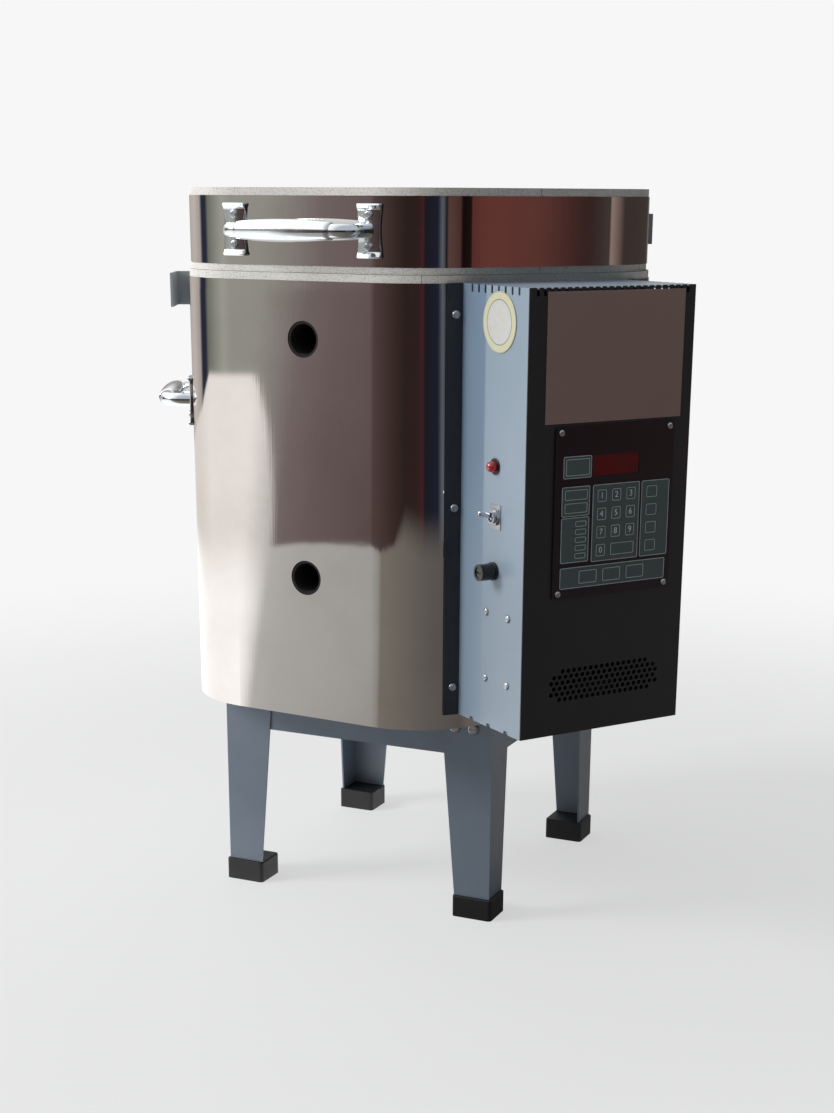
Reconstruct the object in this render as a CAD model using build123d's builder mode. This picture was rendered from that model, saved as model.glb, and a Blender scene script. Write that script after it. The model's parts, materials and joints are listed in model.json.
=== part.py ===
"""A small six-sided top-loading electric kiln on its stand, with its control box.

Millimetres, +Z up. The origin is on the floor under the middle of the whole kiln's outline.
The front flat, with the two peepholes, faces -Y. The control box sits on the next flat to
the right, so the chamber's axis lies a little left of the origin.
"""
from build123d import *
import os
from math import asin, cos, degrees, radians, sin, sqrt, tan

os.makedirs("parts", exist_ok=True)

# The chamber's axis, seen from the origin
chamber_x = -39.3
chamber_y = 6.4

# Brickwork
chamber_flats = 304.8
wall_thickness = 76.2
course_height = 114.3
course_names = ["bottom", "middle", "top"]
floor_slab_thickness = 76.2
floor_board_thickness = 10.0
floor_plate_thickness = 1.4
floor_plate_clearance = 0.4
lid_slab_thickness = 76.2
mortar_gap = 0.4
lid_seat_gap = 0.3

# Steel jacket round the body and band round the lid
jacket_sheet = 0.6
jacket_clearance = 0.2
jacket_corner_radius = 93.0
jacket_height = 423.5
band_inset = 2.4
band_height = 62.7
band_rise = 6.3
seam_strip_width = 30.0
seam_strip_sheet = 1.0
seam_screw_pitch = 78.0
clamp_lug_height = 30.0
clamp_lug_reach = 14.0
clamp_lug_sheet = 2.0
clamp_lug_spacing = 18.0
clamp_bolt_radius = 2.5
clamp_bolt_overhang = 6.0

# Peepholes
peephole_radius = 17.0
peephole_bore_radius = 14.5
peephole_offset = 4.0
peephole_rise = 53.8

# Heating elements in their grooves
groove_height = 11.0
groove_depth = 13.0
groove_spread = 28.6
element_radius = 4.5
element_seat = 5.5
tail_radius = 2.5
tail_spacing = 24.0
tail_overlap = 3.0
bushing_radius = 6.0
bushing_bore_radius = 3.0
bushing_length_outside = 15.0
bushing_fit = 0.3
terminal_radius = 5.0
terminal_length = 16.0
terminal_screw_radius = 1.8
terminal_screw_reach = 3.0
sheath_radius = 4.0
sheath_reach = 25.0
sheath_fit = 0.5

# Jacket window behind the control box
window_width = 60.0
window_margin = 18.0

# Stand: a welded frame with a tapered angle leg at each corner
stand_height = 219.0
stand_half = 154.0
stand_turn = 4.8
leg_sheet = 2.0
wide_leg_top = 56.0
wide_leg_foot = 38.0
narrow_leg_top = 46.0
narrow_leg_foot = 33.0
frame_height = 44.0
frame_ledge = 22.0
boot_height = 23.0
boot_floor = 4.0
boot_wall = 3.0
boot_round = 4.0
stand_bolt_radius = 3.0
stand_bolt_tail = 6.0
stand_bolt_drop = 14.0
stand_bolt_edge = 20.0
stand_bolt_pitch = 20.0

# Screws
screw_radius = 1.9
screw_length = 11.0
screw_head_radius = 4.0
screw_head_height = 2.4
screw_slot_width = 1.0
screw_slot_depth = 0.9
bore_play = 0.2

# Pull handles: two fishtail feet, curved necks and a bulged grip
handle_span = 148.5
handle_reach = 41.0
foot_width = 25.0
foot_waist = 22.0
foot_height = 48.0
foot_flare = 7.0
foot_thickness = 3.0
foot_screw_offset = 14.0
neck_radius = 6.5
neck_bend = 17.0
neck_inset = 5.5
grip_radius = 10.4
grip_end_radius = 7.8
lid_handle_height = 38.2
lid_handle_offset = 3.0
side_handle_height = 300.0

# Channel bracket on the left flat
bracket_height = 34.0
bracket_depth = 50.0
bracket_reach = 26.0
bracket_sheet = 2.5
bracket_screw_spacing = 18.0

# Lid hinge
hinge_width = 150.0
leaf_sheet = 2.0
leaf_length = 66.0
leaf_foot_gap = 5.5
lid_leaf_length = 52.0
lid_leaf_gap = 9.0
pin_radius = 2.5
pin_overhang = 3.0
pin_fit = 0.1
knuckle_radius = 5.0
knuckle_gap = 0.4
knuckle_count = 5
pin_standoff = 9.2
lid_opening = 95.0
heel_length = 16.0
heel_gap = 0.5
leaf_screw_spacing = 50.0
leaf_screw_rows = [-24.0, 24.0]
lid_leaf_screw_rows = [-16.0, 16.0]
lug_root = 5.0
pin_head_radius = 4.0

# Control box
box_width = 183.0
box_height = 409.0
box_depth = 110.0
box_bottom = 15.0
box_shift = 3.0
box_sheet = 1.2
box_back_gap = 0.4
flange_width = 16.0
flange_screw_heights = [43.0, 218.0, 396.0]
flange_screw_inset = 7.0
panel_lip = 12.0
panel_fit = 0.3
panel_screw_heights = [60.0, 220.0, 380.0]
panel_screw_tail = 3.0
shield_gap = 12.0
vent_width = 3.0
vent_reach = 7.0
front_vent_pitch = 7.5
front_vent_count = 23
side_vent_pitch = 11.0
side_vent_count = 8
notch_width = 7.0
notch_height = 3.0
notch_pitch = 30.0
grille_length = 132.0
grille_height = 33.0
grille_center = (3.0, 62.5)
grille_hole_radius = 2.2
grille_pitch = 6.4
grille_row_pitch = 5.4

# What the front panel carries
label_size = (152.0, 115.0)
label_offset = 3.5
label_drop = 61.0
label_sheet = 0.8
controller_size = (134.0, 157.0)
controller_offset = 6.0
controller_gap = 3.0
controller_sheet = 1.5
controller_round = 3.0
controller_screw_spacing = (122.0, 147.0)
controller_screw_radius = 1.5
controller_screw_head_radius = 3.0
controller_screw_head_height = 1.8
controller_screw_length = 12.0
standoff_radius = 3.5
standoff_length = 9.0
board_sheet = 1.6
board_window = (104.0, 124.0)
chip_offset = (-6.0, -24.0)
chip_size = (30.0, 12.0, 4.0)
plug_offset = (14.0, -4.0)
plug_size = (60.0, 30.0, 10.0)
display_size = (52.0, 19.0)
display_offset = (1.0, 42.0)
display_recess = 0.4
keypad_thickness = 0.5
key_thickness = 0.5
pad_round = 2.5
key_round = 1.2

# What the left side carries, measured out from the jacket and up from its lower edge
badge_radius = 27.0
badge_out = 63.6
badge_drop = 31.5
badge_thickness = 1.0
lamp_place = (60.0, 264.0)
lamp_radius = 6.0
lamp_bezel_radius = 7.5
lamp_bezel_height = 1.5
lamp_dome_height = 9.0
lamp_body_length = 26.0
toggle_place = (62.0, 218.0)
toggle_bushing_radius = 5.9
toggle_bushing_height = 6.0
toggle_mouth_radius = 4.3
toggle_mouth_depth = 8.0
toggle_body_size = (20.0, 30.0, 16.0)
toggle_nut_flats = 14.0
toggle_nut_height = 2.4
toggle_plate_size = (17.0, 23.0)
toggle_plate_sheet = 0.8
toggle_pivot_height = 3.0
toggle_angle = 18.0
lever_length = 17.5
lever_ball_radius = 3.6
lever_root_radius = 1.8
lever_tip_radius = 2.6
fuse_place = (60.0, 167.0)
fuse_flange_radius = 8.6
fuse_flange_height = 3.0
fuse_cap_radius = 7.8
fuse_cap_height = 14.0
fuse_cap_gap = 0.3
fuse_cap_dish_radius = 5.6
fuse_cap_dish_depth = 1.0
fuse_cap_slot_width = 1.6
fuse_spigot_radius = 5.0
fuse_spigot_length = 6.0
fuse_body_radius = 7.0
fuse_body_length = 38.0
fuse_bore_radius = 5.4
fuse_radius = 3.2
fuse_length = 28.0
rivet_inset = 43.0
rivet_height = 94.5
rivet_spacing = (37.0, 64.0)
rivet_radius = 1.6
rivet_head_radius = 3.6
rivet_head_height = 2.0

# What the box holds inside
relay_plate_size = (52.0, 84.0)
relay_plate_sheet = 1.5
relay_size = (30.0, 34.0, 36.0)
relay_spacing = 40.0
transformer_size = (46.0, 40.0, 40.0)
transformer_place = (5.0, 70.0)
strip_size = (70.0, 18.0, 14.0)
strip_place = (-30.0, 46.0)
strip_screw_radius = 3.0
strip_pole_count = 5
strip_screw_height = 1.5
block_size = (24.0, 32.0, 14.0)
block_screw_height = 2.0
gland_place = (58.0, 60.0)
gland_radius = 8.0
gland_nut_flats = 24.0
gland_nut_height = 6.0
gland_bore_radius = 5.0
gland_drop = 14.0

# Sizes that follow
chamber_apothem = chamber_flats / 2
brick_apothem = chamber_apothem + wall_thickness
jacket_apothem = brick_apothem + jacket_clearance + jacket_sheet
brick_corner_radius = jacket_corner_radius - jacket_clearance - jacket_sheet
band_apothem = jacket_apothem - band_inset
lid_apothem = band_apothem - jacket_sheet - jacket_clearance
body_base = stand_height
board_base = body_base + floor_plate_thickness
slab_base = board_base + floor_board_thickness
first_course = slab_base + floor_slab_thickness
brick_top = first_course + course_height * len(course_names)
lid_base = brick_top + lid_seat_gap
band_base = lid_base + band_rise
groove_apothem = chamber_apothem + groove_depth
element_apothem = chamber_apothem + groove_depth - element_seat
window_height = course_height * len(course_names) - 2 * window_margin
flat_down = (Align.CENTER, Align.CENTER, Align.MIN)
hanging = (Align.CENTER, Align.CENTER, Align.MAX)


def flat_plane(azimuth, distance, height=0):
    """Plane on an upright flat, seen from outside: X to the right, Y up, Z outward."""
    angle = radians(azimuth)
    outward = (sin(angle), -cos(angle), 0)
    return Plane(
        origin=(
            chamber_x + distance * sin(angle),
            chamber_y - distance * cos(angle),
            height,
        ),
        x_dir=(cos(angle), sin(angle), 0),
        z_dir=outward,
    )


def level_plane(height):
    """Level plane at this height, centred on the chamber's axis."""
    return Plane(origin=(chamber_x, chamber_y, height))


def on_plane(plane, *place):
    """Location on a plane: x, y, z and, if given, a turn about x, y and z."""
    turn = place[3:] or (0, 0, 0)
    return plane.location * Location(place[:3], turn)


def hexagon(apothem, corner_radius):
    """Six-sided outline with one flat towards -Y and rounded corners."""
    with BuildSketch() as outline:
        RegularPolygon(apothem, 6, major_radius=False)
        fillet(outline.vertices(), corner_radius)
    return outline.sketch


def shell_outline(apothem, corner_radius, sheet):
    """Closed strip of sheet metal that follows the rounded hexagon inwards."""
    with BuildSketch() as outline:
        add(hexagon(apothem, corner_radius))
        add(hexagon(apothem - sheet, corner_radius - sheet), mode=Mode.SUBTRACT)
    return outline.sketch


def pan_screw(radius, length, head_radius, head_height):
    """Domed, slotted screw: its head stands on the plane and its shank hangs below."""
    with BuildPart() as screw:
        Cylinder(head_radius, head_height, align=flat_down)
        fillet(screw.edges().group_by(Axis.Z)[-1], head_height * 0.7)
        Cylinder(radius, length, align=hanging)
        with Locations((0, 0, head_height)):
            Box(
                2 * head_radius,
                screw_slot_width,
                2 * screw_slot_depth,
                mode=Mode.SUBTRACT,
            )
    return screw.part


def screw_set(screw, places):
    """The same screw at each place."""
    with BuildPart() as screws:
        with Locations(*places):
            add(screw)
    return screws.part


def bore_set(radius, length, places):
    """Holes for the shanks of screws at these places."""
    with BuildPart() as bores:
        with Locations(*places):
            Cylinder(radius + bore_play, length + 1, align=hanging)
    return bores.part


def pull_handle():
    """Handle lying along X with its feet on the XY plane."""
    grip_height = handle_reach - grip_radius
    neck_rise = grip_height - neck_bend
    neck_place = handle_span / 2 - neck_inset
    grip_half = neck_place - neck_bend
    scallop_half = foot_height / 2 - foot_flare
    scallop_depth = (foot_width - foot_waist) / 2
    scallop_radius = (scallop_half**2 + scallop_depth**2) / (2 * scallop_depth)
    scallop_place = foot_waist / 2 + scallop_radius
    with BuildPart() as handle:
        with BuildSketch():
            with Locations((handle_span / 2, 0)):
                Rectangle(foot_width, foot_height)
            with Locations(
                (handle_span / 2 - scallop_place, 0),
                (handle_span / 2 + scallop_place, 0),
            ):
                Circle(scallop_radius, mode=Mode.SUBTRACT)
        extrude(amount=foot_thickness)
        with BuildLine(Plane.XZ):
            rise = Line((neck_place, foot_thickness / 2), (neck_place, neck_rise))
            JernArc(start=rise @ 1, tangent=rise % 1, radius=neck_bend, arc_size=90)
        with BuildSketch(Plane(origin=(neck_place, 0, foot_thickness / 2))):
            Circle(neck_radius)
        sweep()
        mirror(about=Plane.YZ)
        grip_plane = Plane(
            origin=(0, 0, grip_height), x_dir=(1, 0, 0), z_dir=(0, -1, 0)
        )
        with BuildSketch(grip_plane):
            with BuildLine():
                left_end = Line((-grip_half, 0), (-grip_half, grip_end_radius))
                crown = ThreePointArc(
                    left_end @ 1, (0, grip_radius), (grip_half, grip_end_radius)
                )
                Polyline(crown @ 1, (grip_half, 0), left_end @ 0)
            make_face()
        revolve(axis=Axis((0, 0, grip_height), (1, 0, 0)))
    return handle.part


def foot_screw_places(plane):
    """Two screws on each foot of a handle that stands on this plane."""
    return [
        on_plane(plane, side * handle_span / 2, row * foot_screw_offset, foot_thickness)
        for side in (-1, 1)
        for row in (-1, 1)
    ]


# Planes that several pieces share
front_flat = flat_plane(0, jacket_apothem, body_base)
left_handle_flat = flat_plane(-60, jacket_apothem, body_base + side_handle_height)
right_handle_flat = flat_plane(120, jacket_apothem, body_base + side_handle_height)
bracket_flat = flat_plane(
    -60, jacket_apothem, body_base + jacket_height - bracket_height
)
seam_flat = flat_plane(-120, jacket_apothem, body_base)
hinge_flat = flat_plane(180, jacket_apothem, body_base)
hinge_band_flat = flat_plane(180, band_apothem, lid_base)
clamp_flat = flat_plane(120, band_apothem, band_base + band_height / 2)
lid_handle_flat = Plane(
    flat_plane(0, band_apothem, lid_base + lid_handle_height).location
    * Location((lid_handle_offset, 0, 0))
)
control_flat = flat_plane(60, jacket_apothem, body_base)
box_plane = Plane(control_flat.location * Location((box_shift, 0, 0)))
box_middle = box_bottom + box_height / 2
box_top = box_bottom + box_height
box_side = box_width / 2
panel_back = box_depth - box_sheet
label_center = (label_offset, box_top - label_drop)
controller_center = (
    controller_offset,
    label_center[1] - label_size[1] / 2 - controller_gap - controller_size[1] / 2,
)


def on_controller(across, up, *rest):
    """Place or pad given from the controller's centre, seen from the box's origin."""
    return (controller_center[0] + across, controller_center[1] + up, *rest)


display_center = on_controller(*display_offset)
chip_place = on_controller(*chip_offset)
plug_place = on_controller(*plug_offset)
rivet_center = (box_depth - rivet_inset, rivet_height)
badge_place = (badge_out, box_top - badge_drop)


def side_place(place, height=0):
    """Location on the box's left side, with Z pointing out of it."""
    out, up = place
    return on_plane(box_plane, -box_side - height, up, out, 0, -90, 0)


def flange_root(side):
    """Where a side of the box bends into its flange, which lies along the jacket's corner."""
    lying_radius = jacket_corner_radius + box_back_gap
    flat_half = (jacket_apothem - jacket_corner_radius) * tan(radians(30))
    past_flat = box_side - box_sheet + side * box_shift - flat_half
    slope = asin(max(past_flat + flange_width / 2, 0) / lying_radius)
    root = (lying_radius - past_flat * sin(slope)) / cos(slope) - jacket_corner_radius
    turn = side * degrees(slope)
    return on_plane(box_plane, side * (box_side - box_sheet), 0, root, 0, turn, 0)


# Where the screws go
leaf_top = jacket_height - leaf_foot_gap
leaf_middle = leaf_top - leaf_length / 2
leaf_screw_places = [
    on_plane(hinge_flat, column * leaf_screw_spacing, leaf_middle + row, leaf_sheet)
    for column in (-1, 0, 1)
    for row in leaf_screw_rows
]
bracket_screw_places = [
    on_plane(
        bracket_flat,
        side * bracket_screw_spacing / 2,
        bracket_height / 2,
        bracket_sheet,
    )
    for side in (-1, 1)
]
seam_screw_places = [
    on_plane(
        seam_flat, 0, jacket_height / 2 + step * seam_screw_pitch, seam_strip_sheet
    )
    for step in (-2, -1, 0, 1, 2)
]
flange_screw_places = [
    flange_root(side)
    * Location((side * (box_sheet + flange_screw_inset), height, box_sheet))
    for side in (-1, 1)
    for height in flange_screw_heights
]
jacket_screw_places = (
    foot_screw_places(left_handle_flat)
    + foot_screw_places(right_handle_flat)
    + leaf_screw_places
    + bracket_screw_places
    + seam_screw_places
    + flange_screw_places
)
lid_leaf_middle = lid_leaf_gap + lid_leaf_length / 2
lid_screw_places = foot_screw_places(lid_handle_flat) + [
    on_plane(
        hinge_band_flat,
        column * leaf_screw_spacing,
        lid_leaf_middle + row,
        leaf_sheet,
    )
    for column in (-1, 0, 1)
    for row in lid_leaf_screw_rows
]
jacket_screw_bores = bore_set(screw_radius, screw_length, jacket_screw_places)
lid_screw_bores = bore_set(screw_radius, screw_length, lid_screw_places)

# Where the element ends come through the wall, as heights above the body's base
tail_heights = [
    first_course - body_base + course_height * (course + 0.5) + side * groove_spread
    for course in range(len(course_names))
    for side in (-1, 1)
]
tail_places = [
    (side * tail_spacing / 2, height) for height in tail_heights for side in (-1, 1)
]
sheath_height = first_course - body_base + course_height * len(course_names) / 2
wall_flat = flat_plane(60, brick_apothem + 1, body_base)
shield_front = shield_gap + box_sheet

# Bores through the brick wall for the elements and the thermocouple
with BuildPart(wall_flat) as wall_bores:
    with Locations(*tail_places):
        Cylinder(bushing_radius + bushing_fit, wall_thickness, align=hanging)
    with Locations((0, sheath_height)):
        Cylinder(sheath_radius + sheath_fit, wall_thickness + 2, align=hanging)

# Peepholes go through the middle of the lowest and highest courses
peephole_heights = [
    first_course - body_base + peephole_rise,
    first_course - body_base + peephole_rise + course_height * 2,
]
peephole_places = [(peephole_offset, height) for height in peephole_heights]
with BuildPart(front_flat) as peephole_bores:
    with Locations(*peephole_places):
        Cylinder(peephole_bore_radius, wall_thickness + 2, align=hanging)


def brick_course(base):
    """Six mitred firebricks, grooved for the elements, in one course of the wall."""
    with BuildPart() as course:
        with BuildSketch(level_plane(base)):
            add(hexagon(brick_apothem, brick_corner_radius))
            RegularPolygon(chamber_apothem, 6, major_radius=False, mode=Mode.SUBTRACT)
        extrude(amount=course_height)
        groove_base = base + course_height / 2 - groove_height / 2
        for side in (-1, 1):
            groove_plane = level_plane(groove_base + side * groove_spread)
            with BuildSketch(groove_plane):
                RegularPolygon(groove_apothem, 6, major_radius=False)
            extrude(amount=groove_height, mode=Mode.SUBTRACT)
        with Locations(level_plane(base + course_height / 2)):
            with PolarLocations(0, 3, angular_range=180):
                Box(
                    4 * brick_apothem,
                    mortar_gap,
                    2 * course_height,
                    mode=Mode.SUBTRACT,
                )
        add(wall_bores.part, mode=Mode.SUBTRACT)
        add(peephole_bores.part, mode=Mode.SUBTRACT)
        add(jacket_screw_bores, mode=Mode.SUBTRACT)
    return course.part


def element_loop(height):
    """One turn round the chamber with its two straight ends out through the wall."""
    half_tail = tail_spacing / 2
    corner = element_apothem / cos(radians(30))
    start = flat_plane(60, element_apothem, height)
    first = start.from_local_coords((-half_tail + tail_overlap, 0, 0))
    last = start.from_local_coords((half_tail - tail_overlap, 0, 0))
    corners = [
        (
            chamber_x + corner * cos(radians(angle)),
            chamber_y + corner * sin(radians(angle)),
            height,
        )
        for angle in (-60, -120, 180, 120, 60, 0)
    ]
    tail_length = (
        jacket_apothem + bushing_length_outside + terminal_length - element_apothem
    )
    with BuildPart() as loop:
        with BuildLine():
            Polyline(first, *corners, last)
        with BuildSketch(Plane(origin=first, z_dir=start.x_dir * -1)):
            Circle(element_radius)
        sweep(transition=Transition.RIGHT)
        with Locations(on_plane(start, -half_tail, 0, 0), on_plane(start, half_tail, 0, 0)):
            Cylinder(tail_radius, tail_length, align=flat_down)
    return loop.part


# Stand frame: four angles mitred and welded into a square
stand_plane = Plane(
    origin=(chamber_x, chamber_y, stand_height),
    x_dir=(cos(radians(stand_turn)), sin(radians(stand_turn)), 0),
    z_dir=(0, 0, 1),
)
frame_half = stand_half - leg_sheet
stand_faces = [0, 90, 180, 270]


def stand_face(azimuth):
    """Outer face of the stand on one of its four sides, with its origin at the top."""
    return flat_plane(azimuth + stand_turn, stand_half, stand_height)


stand_bolt_places = [
    on_plane(
        stand_face(azimuth),
        side * (stand_half - stand_bolt_edge - step * stand_bolt_pitch),
        -stand_bolt_drop,
        0,
    )
    for azimuth in stand_faces
    for side in (-1, 1)
    for step in ((0, 1) if azimuth % 180 == 0 else (0,))
]
stand_bolt_length = 2 * leg_sheet + stand_bolt_tail
stand_bolt_bores = bore_set(stand_bolt_radius, stand_bolt_length, stand_bolt_places)

with BuildPart() as stand_frame:
    with BuildSketch(stand_plane):
        Rectangle(2 * frame_half, 2 * frame_half)
        offset(amount=-leg_sheet, mode=Mode.SUBTRACT)
    extrude(amount=-frame_height)
    with BuildSketch(stand_plane):
        Rectangle(2 * frame_half, 2 * frame_half)
        offset(amount=-frame_ledge, mode=Mode.SUBTRACT)
    extrude(amount=-leg_sheet)
    add(stand_bolt_bores, mode=Mode.SUBTRACT)
stand_frame.part.label = "stand_frame"
export_step(stand_frame.part, "parts/stand_frame.step")

# Legs: each is a folded angle, wide towards the front or back and narrow to the side
leg_length = stand_height - boot_floor
boot_size_x = wide_leg_foot + 2 * boot_wall
boot_size_y = narrow_leg_foot + 2 * boot_wall
boot_x = stand_half + boot_wall - boot_size_x / 2
boot_y = stand_half + boot_wall - boot_size_y / 2

# Each corner's name, the two faces its leg lies on and its side of the middle
stand_corners = [
    ("front_right", 0, 90, 1, -1),
    ("back_right", 90, 180, 1, 1),
    ("back_left", 180, 270, -1, 1),
    ("front_left", 270, 0, -1, -1),
]


def leg_widths(azimuth):
    """Width of a leg's leaf at the top and at the foot, on this side of the stand."""
    if azimuth % 180 == 0:
        return wide_leg_top, wide_leg_foot
    return narrow_leg_top, narrow_leg_foot


for corner_name, first_face, next_face, side_x, side_y in stand_corners:
    with BuildPart() as leg_blank:
        for azimuth, side in ((first_face, 1), (next_face, -1)):
            top_end, foot_end = leg_widths(azimuth)
            with BuildSketch(stand_face(azimuth)):
                Polygon(
                    (side * stand_half, 0),
                    (side * (stand_half - top_end), 0),
                    (side * (stand_half - foot_end), -leg_length),
                    (side * stand_half, -leg_length),
                    align=None,
                )
            extrude(amount=-leg_sheet)
    with BuildPart() as leg:
        add(leg_blank.part)
        add(stand_bolt_bores, mode=Mode.SUBTRACT)
    leg.part.label = f"leg_{corner_name}"
    export_step(leg.part, f"parts/leg_{corner_name}.step")

    # Rubber boot on the leg's foot
    with BuildPart() as boot:
        with Locations(on_plane(stand_plane, side_x * boot_x, side_y * boot_y, -stand_height)):
            Box(boot_size_x, boot_size_y, boot_height, align=flat_down)
        fillet(boot.edges().filter_by(Axis.Z), boot_round)
        fillet(boot.edges().group_by(Axis.Z)[-1], boot_wall / 2)
        add(leg_blank.part, mode=Mode.SUBTRACT)
    boot.part.label = f"boot_{corner_name}"
    export_step(boot.part, f"parts/boot_{corner_name}.step")

with BuildPart() as stand_bolts:
    add(
        screw_set(
            pan_screw(
                stand_bolt_radius,
                stand_bolt_length,
                2 * stand_bolt_radius,
                stand_bolt_radius,
            ),
            stand_bolt_places,
        )
    )
stand_bolts.part.label = "stand_bolts"
export_step(stand_bolts.part, "parts/stand_bolts.step")

# Floor: steel plate, insulating board and brick slab
with BuildPart() as floor_plate:
    with BuildSketch(level_plane(body_base)):
        add(
            hexagon(
                brick_apothem - floor_plate_clearance,
                brick_corner_radius - floor_plate_clearance,
            )
        )
    extrude(amount=floor_plate_thickness)
floor_plate.part.label = "floor_plate"
export_step(floor_plate.part, "parts/floor_plate.step")

with BuildPart() as floor_board:
    with BuildSketch(level_plane(board_base)):
        add(hexagon(brick_apothem, brick_corner_radius))
    extrude(amount=floor_board_thickness)
floor_board.part.label = "floor_board"
export_step(floor_board.part, "parts/floor_board.step")

with BuildPart() as floor_slab:
    with BuildSketch(level_plane(slab_base)):
        add(hexagon(brick_apothem, brick_corner_radius))
    extrude(amount=floor_slab_thickness)
    add(jacket_screw_bores, mode=Mode.SUBTRACT)
floor_slab.part.label = "floor_slab"
export_step(floor_slab.part, "parts/floor_slab.step")

# Wall: three courses of firebrick
for level, course_name in enumerate(course_names):
    with BuildPart() as brick_ring:
        add(brick_course(first_course + level * course_height))
    brick_ring.part.label = f"brick_ring_{course_name}"
    export_step(brick_ring.part, f"parts/brick_ring_{course_name}.step")

    with BuildPart() as element:
        middle = first_course + (level + 0.5) * course_height
        add(element_loop(middle - groove_spread))
        add(element_loop(middle + groove_spread))
    element.part.label = f"element_{course_name}"
    export_step(element.part, f"parts/element_{course_name}.step")

# Ceramic bushings where the element ends leave the wall
bushing_length = brick_apothem - groove_apothem + bushing_length_outside
bushing_plane = flat_plane(60, jacket_apothem + bushing_length_outside, body_base)
with BuildPart(bushing_plane) as element_bushings:
    with Locations(*tail_places):
        Cylinder(bushing_radius, bushing_length, align=hanging)
        Cylinder(
            bushing_bore_radius, bushing_length, align=hanging, mode=Mode.SUBTRACT
        )
element_bushings.part.label = "element_bushings"
export_step(element_bushings.part, "parts/element_bushings.step")

# Terminal barrels clamped on the element ends
with BuildPart(bushing_plane) as element_terminals:
    with Locations(*tail_places):
        Cylinder(terminal_radius, terminal_length, align=flat_down)
        Cylinder(tail_radius, terminal_length, align=flat_down, mode=Mode.SUBTRACT)
    for column, height in tail_places:
        side = 1 if column > 0 else -1
        barrel_side = column + side * (terminal_radius - 0.5)
        with Locations(
            Location((barrel_side, height, terminal_length / 2), (0, side * 90, 0))
        ):
            Cylinder(terminal_screw_radius, terminal_screw_reach, align=flat_down)
element_terminals.part.label = "element_terminals"
export_step(element_terminals.part, "parts/element_terminals.step")

# Thermocouple: ceramic sheath through the wall with its terminal block on the shield
sheath_plane = flat_plane(60, chamber_apothem - sheath_reach, body_base)
sheath_length = jacket_apothem + shield_front - chamber_apothem + sheath_reach
with BuildPart(sheath_plane) as thermocouple:
    with Locations((0, sheath_height)):
        Cylinder(sheath_radius, sheath_length, align=flat_down)
    fillet(
        thermocouple.edges().sort_by(Axis(sheath_plane.origin, sheath_plane.z_dir))[0],
        sheath_radius / 2,
    )
    with Locations((0, sheath_height, sheath_length)):
        Box(*block_size, align=flat_down)
    with Locations((0, sheath_height, sheath_length + block_size[2])):
        with GridLocations(block_size[0] / 2, block_size[1] / 2, 2, 2):
            Cylinder(strip_screw_radius, block_screw_height, align=flat_down)
thermocouple.part.label = "thermocouple"
export_step(thermocouple.part, "parts/thermocouple.step")

# Jacket: thin bright sheet wrapped round the bricks
with BuildPart() as body_jacket:
    with BuildSketch(level_plane(body_base)):
        add(shell_outline(jacket_apothem, jacket_corner_radius, jacket_sheet))
    extrude(amount=jacket_height)
    with BuildSketch(front_flat):
        with Locations(*peephole_places):
            Circle(peephole_radius)
    extrude(amount=-2 * jacket_sheet, mode=Mode.SUBTRACT)
    with BuildSketch(control_flat):
        with Locations((0, sheath_height)):
            Rectangle(window_width, window_height)
    extrude(amount=-2 * jacket_sheet, mode=Mode.SUBTRACT)
    add(jacket_screw_bores, mode=Mode.SUBTRACT)
body_jacket.part.label = "body_jacket"
export_step(body_jacket.part, "parts/body_jacket.step")

with BuildPart() as jacket_seam_strip:
    with Locations(seam_flat):
        Box(
            seam_strip_width,
            jacket_height,
            seam_strip_sheet,
            align=(Align.CENTER, Align.MIN, Align.MIN),
        )
    add(jacket_screw_bores, mode=Mode.SUBTRACT)
jacket_seam_strip.part.label = "jacket_seam_strip"
export_step(jacket_seam_strip.part, "parts/jacket_seam_strip.step")

# Carrying handles on the left and right flats
handle = pull_handle()
for side_name, handle_plane in (
    ("left", left_handle_flat),
    ("right", right_handle_flat),
):
    with BuildPart() as side_handle:
        with Locations(handle_plane):
            add(handle)
        add(jacket_screw_bores, mode=Mode.SUBTRACT)
    side_handle.part.label = f"side_handle_{side_name}"
    export_step(side_handle.part, f"parts/side_handle_{side_name}.step")

# Channel bracket under the seam, open towards the front
with BuildPart() as prop_bracket:
    with Locations(bracket_flat):
        Box(
            bracket_depth,
            bracket_height,
            bracket_reach,
            align=(Align.CENTER, Align.MIN, Align.MIN),
        )
    with Locations(on_plane(bracket_flat, bracket_sheet, 0, bracket_sheet)):
        Box(
            bracket_depth,
            2 * bracket_height,
            bracket_reach - 2 * bracket_sheet,
            align=(Align.CENTER, Align.CENTER, Align.MIN),
            mode=Mode.SUBTRACT,
        )
    add(jacket_screw_bores, mode=Mode.SUBTRACT)
prop_bracket.part.label = "prop_bracket"
export_step(prop_bracket.part, "parts/prop_bracket.step")

# Hinge: knuckles of the two leaves take turns along the pin
pin_y = jacket_apothem + pin_standoff
pin_z = lid_base
knuckle_width = hinge_width / knuckle_count
knuckle_starts = [
    -hinge_width / 2 + step * knuckle_width + knuckle_gap / 2
    for step in range(knuckle_count)
]
leaf_top_height = body_base + leaf_top
lid_leaf_foot = lid_base + lid_leaf_gap
heel_offset = pin_standoff - leaf_sheet - heel_gap - leaf_sheet / 2


def knuckle_plane(start):
    """Upright plane across the hinge pin: X outwards from the chamber's axis, Y up."""
    return Plane(
        origin=(chamber_x + start, chamber_y, 0), x_dir=(0, 1, 0), z_dir=(1, 0, 0)
    )


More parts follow.
